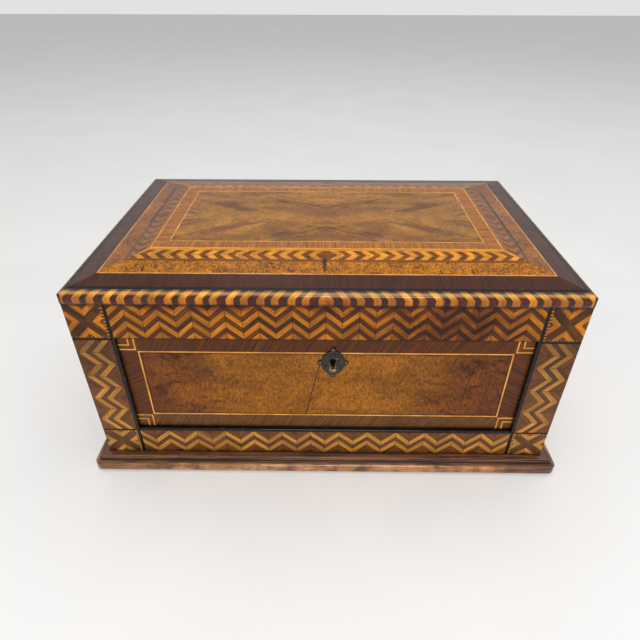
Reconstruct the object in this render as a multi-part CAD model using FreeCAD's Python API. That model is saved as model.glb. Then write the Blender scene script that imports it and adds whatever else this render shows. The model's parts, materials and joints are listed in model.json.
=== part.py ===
import FreeCAD, Part
import math
import os
from FreeCAD import Vector

# Parquetry table box: a veneered case on a moulded base, a crowned lid on stopped butt hinges, a box lock.
# Millimetres. +X is right, +Y is back, +Z is up. The origin is on the table, under the middle of the base.

# Case and lid
case_width = 338.0
case_depth = 216.0
base_height = 11.5
split_height = 121.0
lid_side_height = 26.6
edge_height = 9.6
crown_rise = 7.8
wall = 11.0
floor_thickness = 8.0

# Base moulding, measured outwards from the case and up from the table
base_projection = 11.4
base_corner_radius = 9.9
nose_height = 8.0
nose_depth = 4.0
quirk_depth = 0.7
quirk_height = 0.6
step_projection = 5.4
step_round = 0.8
corner_ease = 0.1

# Veneer, and the raised frame round each sunk panel
veneer = 1.2
recess = 3.5
post_width = 25.8
rail_height = 22.3
bead_width = 2.3
line_width = 1.5

# Zigzag parquetry on the front
zigzag_period = 21.6
zigzag_rise = 9.6
slip_width = 4.4
lid_zigzag_drop = 1.5
wide_stripes = 4
narrow_stripes = 2
cross_arm = 6.0
cross_light = 3.4

# Sunk panels
panel_band = 12.0
panel_band_top = 13.2
string_width = 1.0
corner_string = 0.9
corner_gap = 0.8
corner_lap = 3.0
leaf_joint = 3.0

# Lid edge and the rings of its crown, from the outside in
edge_bulge = 1.6
edge_bulge_height = 4.0
edge_inset = 3.5
black_ring = 2.5
rosewood_width = 12.9
burr_border_width = 12.4
feather_width = 14.4
feather_margin = 2.4
crossband_width = 9.6
feather_light = 5.2
feather_dark = 4.8
feather_point = 5.0

# Butt hinges
hinge_spacing = 200.0
hinge_length = 42.0
leaf_thickness = 1.4
leaf_bed = 9.0
knuckle_radius = 2.4
knuckle_sides = 10
hinge_pin_radius = 1.0
pin_clearance = 0.05
hinge_clearance = 0.3
lid_opening = 98.0
stop_slack = 2.0
stop_reach = 3.2

# Lock, with the key's height measured down from the lid
lock_offset = 5.2
key_drop = 19.8
lock_width = 56.0
lock_height = 38.0
lock_depth = 8.5
lock_plate = 1.5
lock_box_width = 46.0
lock_box_margin = 4.0
lock_rim = 1.0
key_swing = 12.0
bolt_travel = 5.0
bolt_thickness = 4.0
bolt_height = 4.5
bolt_end = 1.0
hook_post = 3.0
tongue_length = 5.5
tongue_thickness = 2.2
tongue_height = 3.0
staple_spacing = 20.0
staple_thickness = 2.0
staple_width = 4.8
staple_drop = 8.0
staple_toe = 1.4
run_clearance = 0.1
slot_clearance = 0.4
eye_clearance = 0.3
talon_width = 5.0
talon_depth = 2.0
spring_thickness = 0.5
spring_width = 2.4
spring_length = 18.0
drill_pin_radius = 1.1

# Escutcheon and keyhole, with the plate's middle a little below the key
escutcheon_drop = 1.7
escutcheon_radius = 8.2
escutcheon_stretch = 1.25
escutcheon_thickness = 1.0
escutcheon_sides = 32
lobe_sides = 12
lobe_radius = 1.9
lobe_circle = 8.9
keyhole_radius = 2.15
keyhole_drop = 7.2
keyhole_throat = 2.2
keyhole_foot = 3.2
keyhole_clearance = 0.5
keyhole_sides = 12
nail_head_radius = 1.0
nail_head_height = 0.6
nail_radius = 0.5
nail_length = 3.2

# Wood screws
screw_radius = 1.1
screw_head_radius = 2.1
screw_head_height = 1.1
screw_length = 7.0
screw_clearance = 0.05
fastener_sides = 6
hinge_screw_spacing = 26.0
lock_screw_margin = 2.6
lock_screw_drop = 7.0
link_screw_spacing = 44.0

# Levels and planes that follow from the sizes above
half_width = case_width / 2
half_depth = case_depth / 2
rail_top = base_height + rail_height
bead_top = rail_top + bead_width
lid_top = split_height + lid_side_height
edge_top = lid_top + edge_height
crown_top = edge_top + crown_rise
ground_width = half_width - veneer
ground_depth = half_depth - veneer
board_width = ground_width - recess
board_depth = ground_depth - recess
inside_width = board_width - wall
inside_front = board_depth - wall
inside_back = ground_depth - wall
panel_face = half_depth - recess
key_height = split_height - key_drop
escutcheon_height = key_height - escutcheon_drop
rosewood_inset = edge_inset + black_ring
outer_string_inset = rosewood_inset + rosewood_width
burr_inset = outer_string_inset + string_width
feather_inset = burr_inset + burr_border_width
flat_inset = feather_inset + feather_width
crossband_inset = flat_inset + string_width
inner_string_inset = crossband_inset + crossband_width
centre_inset = inner_string_inset + string_width
hinge_stand = knuckle_radius + hinge_clearance
hinge_axis_y = half_depth + hinge_stand
UP = Vector(0, 0, 1)
ORIGIN = Vector(0, 0, 0)
ALONG_X = Vector(1, 0, 0)
MITRE = 45.0

# Each side is made at the front and turned into place: name, turn, half length, distance from the middle
SIDES = (
    ("front", 0, half_width, half_depth),
    ("right", 90, half_depth, half_width),
    ("back", 180, half_width, half_depth),
    ("left", 270, half_depth, half_width),
)


def turned(shape, angle):
    copy = shape.copy()
    copy.rotate(ORIGIN, UP, angle)
    return copy


def box(low, high):
    size = high - low
    return Part.makeBox(size.x, size.y, size.z, low)


def prism(points, direction):
    return Part.Face(Part.makePolygon(points + points[:1])).extrude(direction)


def rectangle(left, right, low, high):
    return [(left, low), (right, low), (right, high), (left, high)]


def upright(points, distance, thickness):
    # A piece on the front: (along, height) points, from its back plane outwards.
    corners = [Vector(along, -distance, height) for along, height in points]
    return prism(corners, Vector(0, -thickness, 0))


def flat_face(points):
    corners = [Vector(along, across, 0) for along, across in points]
    return Part.Face(Part.makePolygon(corners + corners[:1]))


def outlines(shape):
    return [[(v.X, v.Y) for v in face.OuterWire.OrderedVertexes] for face in shape.Faces]


def ring(radius, height, sides):
    # Corners of a regular outline round the Z axis.
    angles = [2 * math.pi * number / sides for number in range(sides)]
    return [Vector(radius * math.cos(angle), radius * math.sin(angle), height) for angle in angles]


def flat_sided(levels):
    # A solid with flat sides through levels of as many corners each, from the lowest up.
    faces = [levels[0], levels[-1]]
    for low, high in zip(levels, levels[1:]):
        for corner in range(len(low)):
            after = (corner + 1) % len(low)
            faces.append([low[corner], low[after], high[after], high[corner]])
    shell = Part.makeShell([Part.Face(Part.makePolygon(corners + corners[:1])) for corners in faces])
    return Part.makeSolid(shell)


def placed(shape, place, axis, angle):
    copy = shape.copy()
    copy.rotate(ORIGIN, axis, angle)
    copy.translate(place)
    return copy


def write(node, solids):
    shape = solids[0] if len(solids) == 1 else Part.makeCompound(solids)
    shape.exportStep("parts/" + node + ".step")


# Mouldings


def moulded_length(section, half_length, distance):
    # A straight run of a section, cut at both ends to its mitre and to a corner rounded about its back.
    reach = -section.BoundBox.YMin
    radius = reach + corner_ease

    def corner(sign, angle):
        turn = math.radians(angle)
        along = half_length + radius * math.sin(turn)
        return Vector(sign * along, -distance - radius * math.cos(turn), 0)

    left = Vector(-half_length, -distance, 0)
    right = Vector(half_length, -distance, 0)
    plan = section_face([
        line(left, corner(-1, MITRE)),
        arc(corner(-1, MITRE), corner(-1, MITRE / 2), corner(-1, 0)),
        line(corner(-1, 0), corner(1, 0)),
        arc(corner(1, 0), corner(1, MITRE / 2), corner(1, MITRE)),
        line(corner(1, MITRE), right),
        line(right, left),
    ])
    run = section.copy()
    run.translate(Vector(-half_length - radius, -distance, 0))
    run = run.extrude(Vector(2 * (half_length + radius), 0, 0))
    return run.common(plan.extrude(UP * crown_top))


def section_face(edges):
    return Part.Face(Part.Wire(edges))


def line(start, end):
    return Part.LineSegment(start, end).toShape()


def arc(start, middle, end):
    return Part.Arc(start, middle, end).toShape()


def base_section():
    # Out from the corner axis: a round nose, a quirk above it and a small step under the case.
    axis_out = base_projection - base_corner_radius
    nose_back = base_corner_radius - nose_depth
    step_out = step_projection - axis_out
    quirk_out = nose_back - quirk_depth
    quirk_top = nose_height + quirk_height
    foot = Vector(0, 0, 0)
    nose_foot = Vector(0, -nose_back, 0)
    nose_front = Vector(0, -base_corner_radius, nose_height / 2)
    nose_top = Vector(0, -nose_back, nose_height)
    quirk_low = Vector(0, -quirk_out, nose_height)
    quirk_high = Vector(0, -quirk_out, quirk_top)
    step_low = Vector(0, -step_out, quirk_top)
    step_high = Vector(0, -step_out, base_height - step_round)
    round_in = step_round * (1 - math.sqrt(0.5))
    step_turn = Vector(0, -step_out + round_in, base_height - round_in)
    step_top = Vector(0, -step_out + step_round, base_height)
    head = Vector(0, 0, base_height)
    return section_face([
        line(foot, nose_foot),
        arc(nose_foot, nose_front, nose_top),
        line(nose_top, quirk_low),
        line(quirk_low, quirk_high),
        line(quirk_high, step_low),
        line(step_low, step_high),
        arc(step_high, step_turn, step_top),
        line(step_top, head),
        line(head, foot),
    ])


def base_mouldings():
    # Four mitred lengths that carry the walls. Their inner edges are flush with the inside of the case.
    axis_out = base_projection - base_corner_radius
    section = base_section()
    inner = [
        (-inside_width, -inside_front),
        (inside_width, -inside_front),
        (inside_width, inside_back),
        (-inside_width, inside_back),
    ]
    outer_x = half_width + axis_out
    outer_y = half_depth + axis_out
    outer = [(-outer_x, -outer_y), (outer_x, -outer_y), (outer_x, outer_y), (-outer_x, outer_y)]
    for first, (name, turn, half_length, distance) in enumerate(SIDES):
        second = (first + 1) % len(SIDES)
        plan = [outer[first], outer[second], inner[second], inner[first]]
        slab = prism([Vector(x, y, 0) for x, y in plan], UP * base_height)
        nose = turned(moulded_length(section, half_length + axis_out, distance + axis_out), turn)
        write("base_moulding_" + name, [slab.fuse(nose).removeSplitter()])


def edge_section():
    # A bold round along the lid's edge, from the face of the lid up and over to the black ring.
    foot = Vector(0, 0, lid_top)
    face = Vector(0, -edge_inset, lid_top)
    bulge = Vector(0, -edge_inset - edge_bulge, lid_top + edge_bulge_height)
    head = Vector(0, 0, edge_top)
    return section_face([line(foot, face), arc(face, bulge, head), line(head, foot)])


def edge_mouldings():
    section = edge_section()
    for name, turn, half_length, distance in SIDES:
        length = moulded_length(section, half_length - edge_inset, distance - edge_inset)
        write("edge_moulding_" + name, [turned(length, turn)])


# Wood screws


def screw_solid(clearance):
    # A countersunk screw with its head at the origin, pointing down.
    radius = screw_radius + clearance
    return flat_sided([
        ring(radius, -screw_length - clearance, fastener_sides),
        ring(radius, -screw_head_height, fastener_sides),
        ring(screw_head_radius + clearance, 0, fastener_sides),
    ])


# Ways that a screw points, as turns from straight down, and that an upright piece leans out to the front
DOWNWARDS = (ALONG_X, 0)
UPWARDS = (ALONG_X, 180)
FORWARDS = (ALONG_X, -90)
BACK_TO_FRONT = (ALONG_X, 90)


def driven(places, axis, angle):
    return [placed(screw_solid(0), place, axis, angle) for place in places]


def drilled(shape, places, axis, angle):
    hole = screw_solid(screw_clearance)
    return shape.cut([placed(hole, place, axis, angle) for place in places])


# Hinges


def hinge_places():
    return (-hinge_spacing / 2, hinge_spacing / 2)


def knuckle_spans():
    # The two outer thirds belong to the case's leaf, the middle one to the lid's.
    third = hinge_length / 3
    gap = run_clearance
    outer = [(-hinge_length / 2, -third / 2 - gap), (third / 2 + gap, hinge_length / 2)]
    return outer, [(-third / 2, third / 2)]


def knuckle(span, radius):
    bar = flat_sided([ring(radius, end, knuckle_sides) for end in span])
    return placed(bar, ORIGIN, Vector(0, 1, 0), 90)


def hinge_pin():
    return Part.makeCylinder(hinge_pin_radius, hinge_length, Vector(-hinge_length / 2, 0, 0), ALONG_X)


def hinge_leaf(is_lid):
    # Made round its axis. The stop behind the knuckle meets the other leaf's stop when the lid is open.
    outer, middle = knuckle_spans()
    own, other = (middle, outer) if is_lid else (outer, middle)
    floor = 0 if is_lid else -leaf_thickness
    reach = hinge_stand + leaf_bed
    half = hinge_length / 2
    plate = box(Vector(-half, -reach, floor), Vector(half, 0, floor + leaf_thickness))
    running = [
        knuckle((low - run_clearance, high + run_clearance), knuckle_radius + hinge_clearance)
        for low, high in other
    ]
    leaf = plate.cut(running)
    stop_low = knuckle_radius + hinge_clearance
    stop = box(Vector(-half, stop_low, 0), Vector(half, stop_low + stop_reach, leaf_thickness))
    roots = [box(Vector(low, 0, 0), Vector(high, stop_low, leaf_thickness)) for low, high in own]
    stop = stop.fuse(roots)
    stop.rotate(ORIGIN, ALONG_X, (lid_opening + stop_slack) / 2)
    if not is_lid:
        stop = stop.mirror(ORIGIN, UP)
    leaf = leaf.fuse([stop] + [knuckle(span, knuckle_radius) for span in own])
    # The flats of the bore clear the round pin.
    bore_radius = (hinge_pin_radius + pin_clearance) / math.cos(math.pi / knuckle_sides)
    return leaf.cut(knuckle((-half, half), bore_radius)).removeSplitter()


def hinge_screw_places():
    middle = half_depth - leaf_bed / 2
    return [
        Vector(place + sign * hinge_screw_spacing / 2, middle, split_height)
        for place in hinge_places()
        for sign in (-1, 1)
    ]


def leaf_beds(low, high):
    half = hinge_length / 2
    return [
        box(Vector(place - half, half_depth - leaf_bed, low), Vector(place + half, half_depth, high))
        for place in hinge_places()
    ]


def hinges():
    case_leaves = []
    lid_leaves = []
    pins = []
    for place in hinge_places():
        seat = Vector(place, hinge_axis_y, split_height)
        for is_lid, leaves in ((False, case_leaves), (True, lid_leaves)):
            leaf = hinge_leaf(is_lid)
            leaf.translate(seat)
            leaves.append(leaf)
        pin = hinge_pin()
        pin.translate(seat)
        pins.append(pin)
    write("case_hinge_leaves", [drilled(leaf, hinge_screw_places(), *DOWNWARDS) for leaf in case_leaves])
    write("lid_hinge_leaves", [drilled(leaf, hinge_screw_places(), *UPWARDS) for leaf in lid_leaves])
    write("hinge_pins", pins)


# Lock


def lock_part(left, right, front, back, low, high):
    # A block in the lock: left and right of the key, depth from inside the case, height below the split.
    return box(
        Vector(lock_offset + left, -inside_front - front, split_height - low),
        Vector(lock_offset + right, -inside_front - back, split_height - high),
    )


def keyhole(clearance, front, back):
    # Round above and flared below, cut along Y from front to back.
    radius = keyhole_radius + clearance
    throat = keyhole_throat / 2 + clearance
    foot = keyhole_foot / 2 + clearance
    low = key_height - keyhole_drop - clearance
    depth = front - back
    eye = [(lock_offset + p.x, key_height + p.y) for p in ring(radius, 0, keyhole_sides)]
    slot = [
        (lock_offset - foot, low),
        (lock_offset + foot, low),
        (lock_offset + throat, key_height),
        (lock_offset - throat, key_height),
    ]
    return upright(eye, back, depth).fuse(upright(slot, back, depth))


def staple_places():
    return (-staple_spacing / 2, staple_spacing / 2)


def lock_screw_places():
    side = lock_width / 2 - lock_screw_margin
    return [
        Vector(lock_offset + sign * side, -inside_front, split_height - drop)
        for sign in (-1, 1)
        for drop in (lock_screw_drop, lock_height - lock_screw_drop)
    ]


def link_screw_places():
    middle = -inside_front - lock_depth / 2
    return [
        Vector(lock_offset + sign * link_screw_spacing / 2, middle, split_height)
        for sign in (-1, 1)
    ]


bolt_front = lock_plate + run_clearance + bolt_thickness
bolt_back = lock_plate + run_clearance
staple_middle = bolt_front - tongue_thickness / 2
bar_top = staple_drop + run_clearance + slot_clearance
bar_low = bar_top + bolt_height
tongue_low = staple_drop - staple_toe - eye_clearance
tongue_top = tongue_low - tongue_height
lock_box_half = lock_box_width / 2
cap_front = lock_depth
cap_back = lock_depth - lock_rim
lock_box_low = lock_height - lock_box_margin


def lock_case():
    half = lock_width / 2
    plate = lock_part(-half, half, lock_plate, 0, lock_height, 0)
    selvedge = lock_part(-half, half, lock_depth, 0, lock_plate, 0)
    rim_top = lock_box_low - lock_rim
    rims = [
        lock_part(-lock_box_half, lock_rim - lock_box_half, cap_back, lock_plate, lock_box_low, lock_plate),
        lock_part(lock_box_half - lock_rim, lock_box_half, cap_back, lock_plate, lock_box_low, lock_plate),
        lock_part(-lock_box_half, lock_box_half, cap_back, lock_plate, lock_box_low, rim_top),
    ]
    ledge_top = bar_low + run_clearance
    for sign in (-1, 1):
        ends = sorted((sign * lock_box_half, sign * key_swing / 2))
        rims.append(lock_part(ends[0], ends[1], bolt_front, lock_plate, ledge_top + lock_rim, ledge_top))
    case = plate.fuse([selvedge] + rims)
    slots = []
    for place in staple_places():
        side = staple_thickness / 2 + slot_clearance
        front = staple_middle + staple_width / 2 + slot_clearance
        back = staple_middle - staple_width / 2 - slot_clearance
        slots.append(lock_part(place - side, place + side, front, back, lock_plate, 0))
    case = case.cut(slots).removeSplitter()
    return drilled(case, lock_screw_places(), *FORWARDS)


def lock_bolt():
    # A bar under the selvedge, with two hooks that slide through the staples of the lid.
    hooks = []
    for place in staple_places():
        tip = place - staple_thickness / 2 - slot_clearance
        root = tip - tongue_length
        front = bolt_front
        back = bolt_front - tongue_thickness
        hooks.append(lock_part(root, tip, front, back, tongue_low, tongue_top))
        hooks.append(lock_part(root - hook_post, root, front, back, bar_top, tongue_top))
    hook_left = staple_places()[0] - staple_thickness / 2 - slot_clearance - tongue_length - hook_post
    bar_left = hook_left - bolt_end
    bar_right = staple_places()[1] - bolt_end
    bar = lock_part(bar_left, bar_right, bolt_front, bolt_back, bar_low, bar_top)
    talon = lock_part(
        -talon_width / 2 - bolt_travel / 2,
        talon_width / 2 - bolt_travel / 2,
        bolt_front,
        bolt_back,
        bar_low,
        bar_low - talon_depth,
    )
    return bar.fuse(hooks).cut(talon).removeSplitter()


def lock_spring():
    # A bowed strip on the lock cap that steadies the bolt.
    half = spring_length / 2
    start = -inside_front - cap_back
    belly = -inside_front - bolt_front - run_clearance - spring_thickness
    middle = split_height - (bar_top + bar_low) / 2
    low = middle - spring_width / 2
    shift = lock_offset - hook_post - tongue_length / 2
    ends = []
    for offset in (0, spring_thickness):
        ends.append((
            Vector(shift - half, start + offset, low),
            Vector(shift, belly + offset, low),
            Vector(shift + half, start + offset, low),
        ))
    outer, inner = ends
    strip = section_face([
        arc(outer[0], outer[1], outer[2]),
        line(outer[2], inner[2]),
        arc(inner[2], inner[1], inner[0]),
        line(inner[0], outer[0]),
    ])
    return strip.extrude(UP * spring_width)


def link_plate():
    half = lock_width / 2
    parts = [lock_part(-half, half, lock_depth, 0, 0, -lock_plate)]
    eyes = []
    for place in staple_places():
        side = staple_thickness / 2
        front = staple_middle + staple_width / 2
        back = staple_middle - staple_width / 2
        parts.append(lock_part(place - side, place + side, front, back, staple_drop, 0))
        eyes.append(lock_part(
            place - side,
            place + side,
            bolt_front + eye_clearance,
            bolt_front - tongue_thickness - eye_clearance,
            tongue_low + eye_clearance,
            tongue_top - eye_clearance,
        ))
    plate = parts[0].fuse(parts[1:]).cut(eyes).removeSplitter()
    return drilled(plate, link_screw_places(), *UPWARDS)


def lock():
    write("lock_case", [lock_case()])
    cap = lock_part(-lock_box_half, lock_box_half, cap_front, cap_back, lock_box_low, lock_plate)
    cap = cap.cut(keyhole(keyhole_clearance, inside_front + cap_front, inside_front + cap_back))
    write("lock_cap", [cap])
    write("lock_bolt", [lock_bolt()])
    write("lock_spring", [lock_spring()])
    pin_length = panel_face - inside_front - lock_plate
    pin = flat_sided([ring(drill_pin_radius, end, keyhole_sides) for end in (0, pin_length)])
    seat = Vector(lock_offset, -inside_front - lock_plate, key_height)
    write("lock_drill_pin", [placed(pin, seat, *BACK_TO_FRONT)])
    write("link_plate", [link_plate()])


def screws():
    case = driven(hinge_screw_places(), *DOWNWARDS) + driven(lock_screw_places(), *FORWARDS)
    write("case_screws", case)
    write("lid_screws", driven(hinge_screw_places() + link_screw_places(), *UPWARDS))


# Escutcheon


def nail_places():
    places = []
    for quarter in range(4):
        angle = math.radians(90 * quarter)
        places.append((
            lock_offset + lobe_circle * math.cos(angle),
            escutcheon_height + escutcheon_stretch * lobe_circle * math.sin(angle),
        ))
    return places


def on_panel(shape, along, height):
    return placed(shape, Vector(along, -panel_face, height), *BACK_TO_FRONT)


def disc(radius, stretch, sides):
    # A plate of the escutcheon's thickness, stretched upwards.
    levels = []
    for level in (0, escutcheon_thickness):
        levels.append([Vector(p.x, stretch * p.y, p.z) for p in ring(radius, level, sides)])
    return flat_sided(levels)


def at_nails(shape):
    # Copies of a shape that stands on the panel's face, one at each nail.
    return [on_panel(shape, along, height) for along, height in nail_places()]


def nail_holes():
    radius = nail_radius + screw_clearance
    ends = (-nail_length - screw_clearance, escutcheon_thickness)
    return at_nails(flat_sided([ring(radius, end, fastener_sides) for end in ends]))


def escutcheon():
    plate = disc(escutcheon_radius, escutcheon_stretch, escutcheon_sides)
    plate = on_panel(plate, lock_offset, escutcheon_height)
    plate = plate.fuse(at_nails(disc(lobe_radius, 1, lobe_sides)))
    plate = plate.cut(keyhole(0, panel_face + escutcheon_thickness, panel_face))
    write("escutcheon", [plate.cut(nail_holes()).removeSplitter()])
    nail = flat_sided([
        ring(nail_radius, -nail_length, fastener_sides),
        ring(nail_radius, escutcheon_thickness, fastener_sides),
        ring(nail_head_radius, escutcheon_thickness, fastener_sides),
        ring(nail_radius, escutcheon_thickness + nail_head_height, fastener_sides),
    ])
    write("escutcheon_nails", at_nails(nail.removeSplitter()))


# Boards of the case and the lid


def case_boards():
    floor = box(
        Vector(-inside_width, -inside_front, 0),
        Vector(inside_width, inside_back, floor_thickness),
    )
    write("bottom_board", [floor])
    front = box(
        Vector(-board_width, -board_depth, base_height),
        Vector(board_width, -inside_front, split_height),
    )
    half = lock_width / 2
    front = front.cut([
        lock_part(-half, half, lock_plate, 0, lock_height, 0),
        lock_part(-half, half, lock_depth, 0, lock_plate, 0),
        lock_part(-lock_box_half, lock_box_half, lock_depth, 0, lock_box_low, 0),
        keyhole(keyhole_clearance, board_depth, inside_front + lock_depth),
    ] + nail_holes())
    write("front_board", [drilled(front, lock_screw_places(), *FORWARDS)])
    back = box(
        Vector(-board_width, inside_back, base_height),
        Vector(board_width, ground_depth, split_height),
    )
    back = back.cut(leaf_beds(split_height - leaf_thickness, split_height))
    write("back_board", [drilled(back, hinge_screw_places(), *DOWNWARDS)])
    side = box(
        Vector(inside_width, -inside_front, base_height),
        Vector(board_width, inside_back, split_height),
    )
    write("right_board", [side])
    write("left_board", [side.mirror(ORIGIN, ALONG_X)])


def lid_boards():
    front = box(
        Vector(-ground_width, -ground_depth, split_height),
        Vector(ground_width, -inside_front, lid_top),
    )
    half = lock_width / 2
    front = front.cut(lock_part(-half, half, lock_depth, 0, 0, -lock_plate))
    write("lid_front_rail", [drilled(front, link_screw_places(), *UPWARDS)])
    back = box(
        Vector(-ground_width, inside_back, split_height),
        Vector(ground_width, ground_depth, lid_top),
    )
    back = back.cut(leaf_beds(split_height, split_height + leaf_thickness))
    write("lid_back_rail", [drilled(back, hinge_screw_places(), *UPWARDS)])
    side = box(
        Vector(inside_width, -inside_front, split_height),
        Vector(ground_width, inside_back, lid_top),
    )
    write("lid_right_rail", [side])
    write("lid_left_rail", [side.mirror(ORIGIN, ALONG_X)])


def plan_corners(inset, height):
    x = half_width - inset
    y = half_depth - inset
    return [Vector(-x, -y, height), Vector(x, -y, height), Vector(x, y, height), Vector(-x, y, height)]


def lid_top_board():
    # A thick board with its margins planed to the slope of the crown.
    levels = [
        plan_corners(edge_inset, lid_top),
        plan_corners(edge_inset, edge_top - veneer),
        plan_corners(flat_inset, crown_top - veneer),
    ]
    write("lid_top_board", [flat_sided(levels)])


# Rings of the crown


def crown_height(inset):
    climb = min(inset, flat_inset) - edge_inset
    return edge_top + crown_rise * climb / (flat_inset - edge_inset)


def crown_piece(points, distance):
    # A veneer piece on a crown side: (along, inset) points laid on the slope.
    corners = [Vector(along, inset - distance, crown_height(inset)) for along, inset in points]
    return prism(corners, Vector(0, 0, -veneer))


def trapezoid(half_length, outer, inner):
    return [
        (outer - half_length, outer),
        (half_length - outer, outer),
        (half_length - inner, inner),
        (inner - half_length, inner),
    ]


def crown_ring(outer, inner):
    pieces = []
    for name, turn, half_length, distance in SIDES:
        piece = crown_piece(trapezoid(half_length, outer, inner), distance)
        pieces.append(turned(piece, turn))
    return pieces


def feather_outlines(half_length):
    # Chevrons that point from the middle of the side to its corners: (is light, outline) pairs.
    outer = feather_inset + feather_margin
    inner = flat_inset - feather_margin
    middle = (outer + inner) / 2
    room = flat_face(trapezoid(half_length, outer, inner))
    start = feather_dark / 2
    first = [
        (-start, outer),
        (start, outer),
        (start + feather_point, middle),
        (start, inner),
        (-start, inner),
        (-start - feather_point, middle),
    ]
    pieces = [(False, first)]
    is_light = True
    while start < half_length - outer:
        end = start + (feather_light if is_light else feather_dark)
        for sign in (-1, 1):
            pieces.append((is_light, [
                (sign * start, outer),
                (sign * end, outer),
                (sign * (end + feather_point), middle),
                (sign * end, inner),
                (sign * start, inner),
                (sign * (start + feather_point), middle),
            ]))
        start = end
        is_light = not is_light
    for is_light, points in pieces:
        for outline in outlines(flat_face(points).common(room)):
            yield is_light, outline


def feather_band():
    light = []
    dark = []
    for name, turn, half_length, distance in SIDES:
        for is_light, outline in feather_outlines(half_length):
            piece = turned(crown_piece(outline, distance), turn)
            (light if is_light else dark).append(piece)
    write("feather_light_slips", light)
    write("feather_dark_slips", dark)
    margins = crown_ring(feather_inset, feather_inset + feather_margin)
    margins += crown_ring(flat_inset - feather_margin, flat_inset)
    write("feather_margins", margins)


def crown():
    write("rosewood_border", crown_ring(rosewood_inset, outer_string_inset))
    write("burr_border", crown_ring(burr_inset, feather_inset))
    feather_band()
    write("top_crossbanding", crown_ring(crossband_inset, inner_string_inset))
    strings = crown_ring(outer_string_inset, burr_inset)
    strings += crown_ring(flat_inset, crossband_inset)
    strings += crown_ring(inner_string_inset, centre_inset)
    write("top_stringing", strings)
    leaf = box(
        Vector(0, centre_inset - half_depth, crown_top - veneer),
        Vector(half_width - centre_inset, half_depth - centre_inset, crown_top),
    )
    write("top_burr_leaves", [leaf, leaf.mirror(ORIGIN, ALONG_X)])


# Parquetry of the front


def wood_of(stripe):
    if stripe == 0:
        return "dark"
    return "light" if stripe % 2 else "brown"


def zigzag(length, height, shift, starts_high, stripes):
    # Stripes of a zigzag band along its length: (wood, outline) pairs. The last stripes fill its edges.
    turns = 2 * max(1, round(length / zigzag_period))
    step = length / turns
    middle = []
    for number in range(turns + 1):
        high = (number % 2 == 0) == starts_high
        middle.append(height / 2 + shift + (zigzag_rise / 2 if high else -zigzag_rise / 2))
    room = flat_face(rectangle(0, length, 0, height))
    for stripe in range(-stripes, stripes + 1):
        low = -height if stripe == -stripes else (stripe - 0.5) * slip_width
        high = height if stripe == stripes else (stripe + 0.5) * slip_width
        points = [(number * step, middle[number] + low) for number in range(turns + 1)]
        points += [(number * step, middle[number] + high) for number in reversed(range(turns + 1))]
        for outline in outlines(flat_face(points).common(room)):
            yield wood_of(stripe), outline


def cross_square(width, height):
    # A dark diagonal cross with a light V and a brown triangle in each of its quarters.
    slant = math.hypot(width, height)
    middle = (width / 2, height / 2)
    quarters = (
        ((0, 0), (width, 0), height),
        ((width, 0), (width, height), width),
        ((width, height), (0, height), height),
        ((0, height), (0, 0), width),
    )
    cross = flat_face(rectangle(0, width, 0, height))
    for start, end, across in quarters:
        base = (start[0] + end[0]) / 2, (start[1] + end[1]) / 2
        depth = math.dist(start, end) / 2 * across / slant
        triangles = []
        for margin in (cross_arm / 2, cross_arm / 2 + cross_light):
            share = 1 - margin / depth
            corners = []
            for corner in (start, end, middle):
                corners.append(tuple(b + share * (c - b) for b, c in zip(base, corner)))
            triangles.append(flat_face(corners))
        cross = cross.cut(triangles[0])
        for outline in outlines(triangles[0].cut(triangles[1])):
            yield "light", outline
        for outline in outlines(triangles[1]):
            yield "brown", outline
    for outline in outlines(cross):
        yield "dark", outline


def sort_in(woods, pieces, place):
    for wood, outline in pieces:
        points = [place(along, across) for along, across in outline]
        woods[wood].append(upright(points, ground_depth, veneer))


def post_inner(half_length):
    return half_length - post_width


def panel_half(half_length):
    return half_length - post_width - bead_width


def write_woods(name, woods):
    for wood, solids in woods.items():
        write(name + "_" + wood + "_slips", solids)


def front_parquetry():
    half_panel = panel_half(half_width)
    post_low = rail_top + line_width
    post_height = split_height - line_width - post_low
    case = {"light": [], "brown": [], "dark": []}
    lid = {"light": [], "brown": [], "dark": []}
    sort_in(
        case,
        zigzag(2 * half_panel, rail_height, 0, True, narrow_stripes),
        lambda along, across: (along - half_panel, base_height + across),
    )
    sort_in(
        lid,
        zigzag(2 * half_panel, lid_side_height, -lid_zigzag_drop, False, wide_stripes),
        lambda along, across: (along - half_panel, split_height + across),
    )
    for sign in (-1, 1):
        sort_in(
            case,
            zigzag(post_height, post_width, 0, True, narrow_stripes),
            lambda along, across: (sign * (half_width - across), split_height - line_width - along),
        )
        sort_in(
            case,
            cross_square(post_width, rail_height),
            lambda along, across: (sign * (half_width - along), base_height + across),
        )
        sort_in(
            lid,
            cross_square(post_width, lid_side_height),
            lambda along, across: (sign * (half_width - along), split_height + across),
        )
    write_woods("front_frame", case)
    write_woods("lid_front", lid)


# Raised frames, beads and black lines


def post_lines(half_length, end):
    # Black lines across a post: on its foot and under the lid.
    inner = post_inner(half_length)
    return [
        rectangle(inner, end, rail_top, rail_top + line_width),
        rectangle(inner, end, split_height - line_width, split_height),
    ]


def mirrored(points):
    return [(-along, height) for along, height in points]


def both_ways(rectangles):
    return rectangles + [mirrored(points) for points in rectangles]


def beads(half_length, distance):
    # Two upright beads and one along the foot of the sunk panel, standing on the board.
    inner = panel_half(half_length)
    sides = both_ways([rectangle(inner, post_inner(half_length), base_height, split_height)])
    foot = rectangle(-inner, inner, rail_top, bead_top)
    depth = recess + veneer
    return [upright(points, distance - depth, depth) for points in sides + [foot]]


def front_frame():
    inner = post_inner(half_width)
    half_panel = panel_half(half_width)
    posts = both_ways([rectangle(inner, ground_width, base_height, split_height)])
    rail = rectangle(-half_panel, half_panel, base_height, rail_top)
    return [upright(points, board_depth, recess) for points in posts + [rail]]


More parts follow.
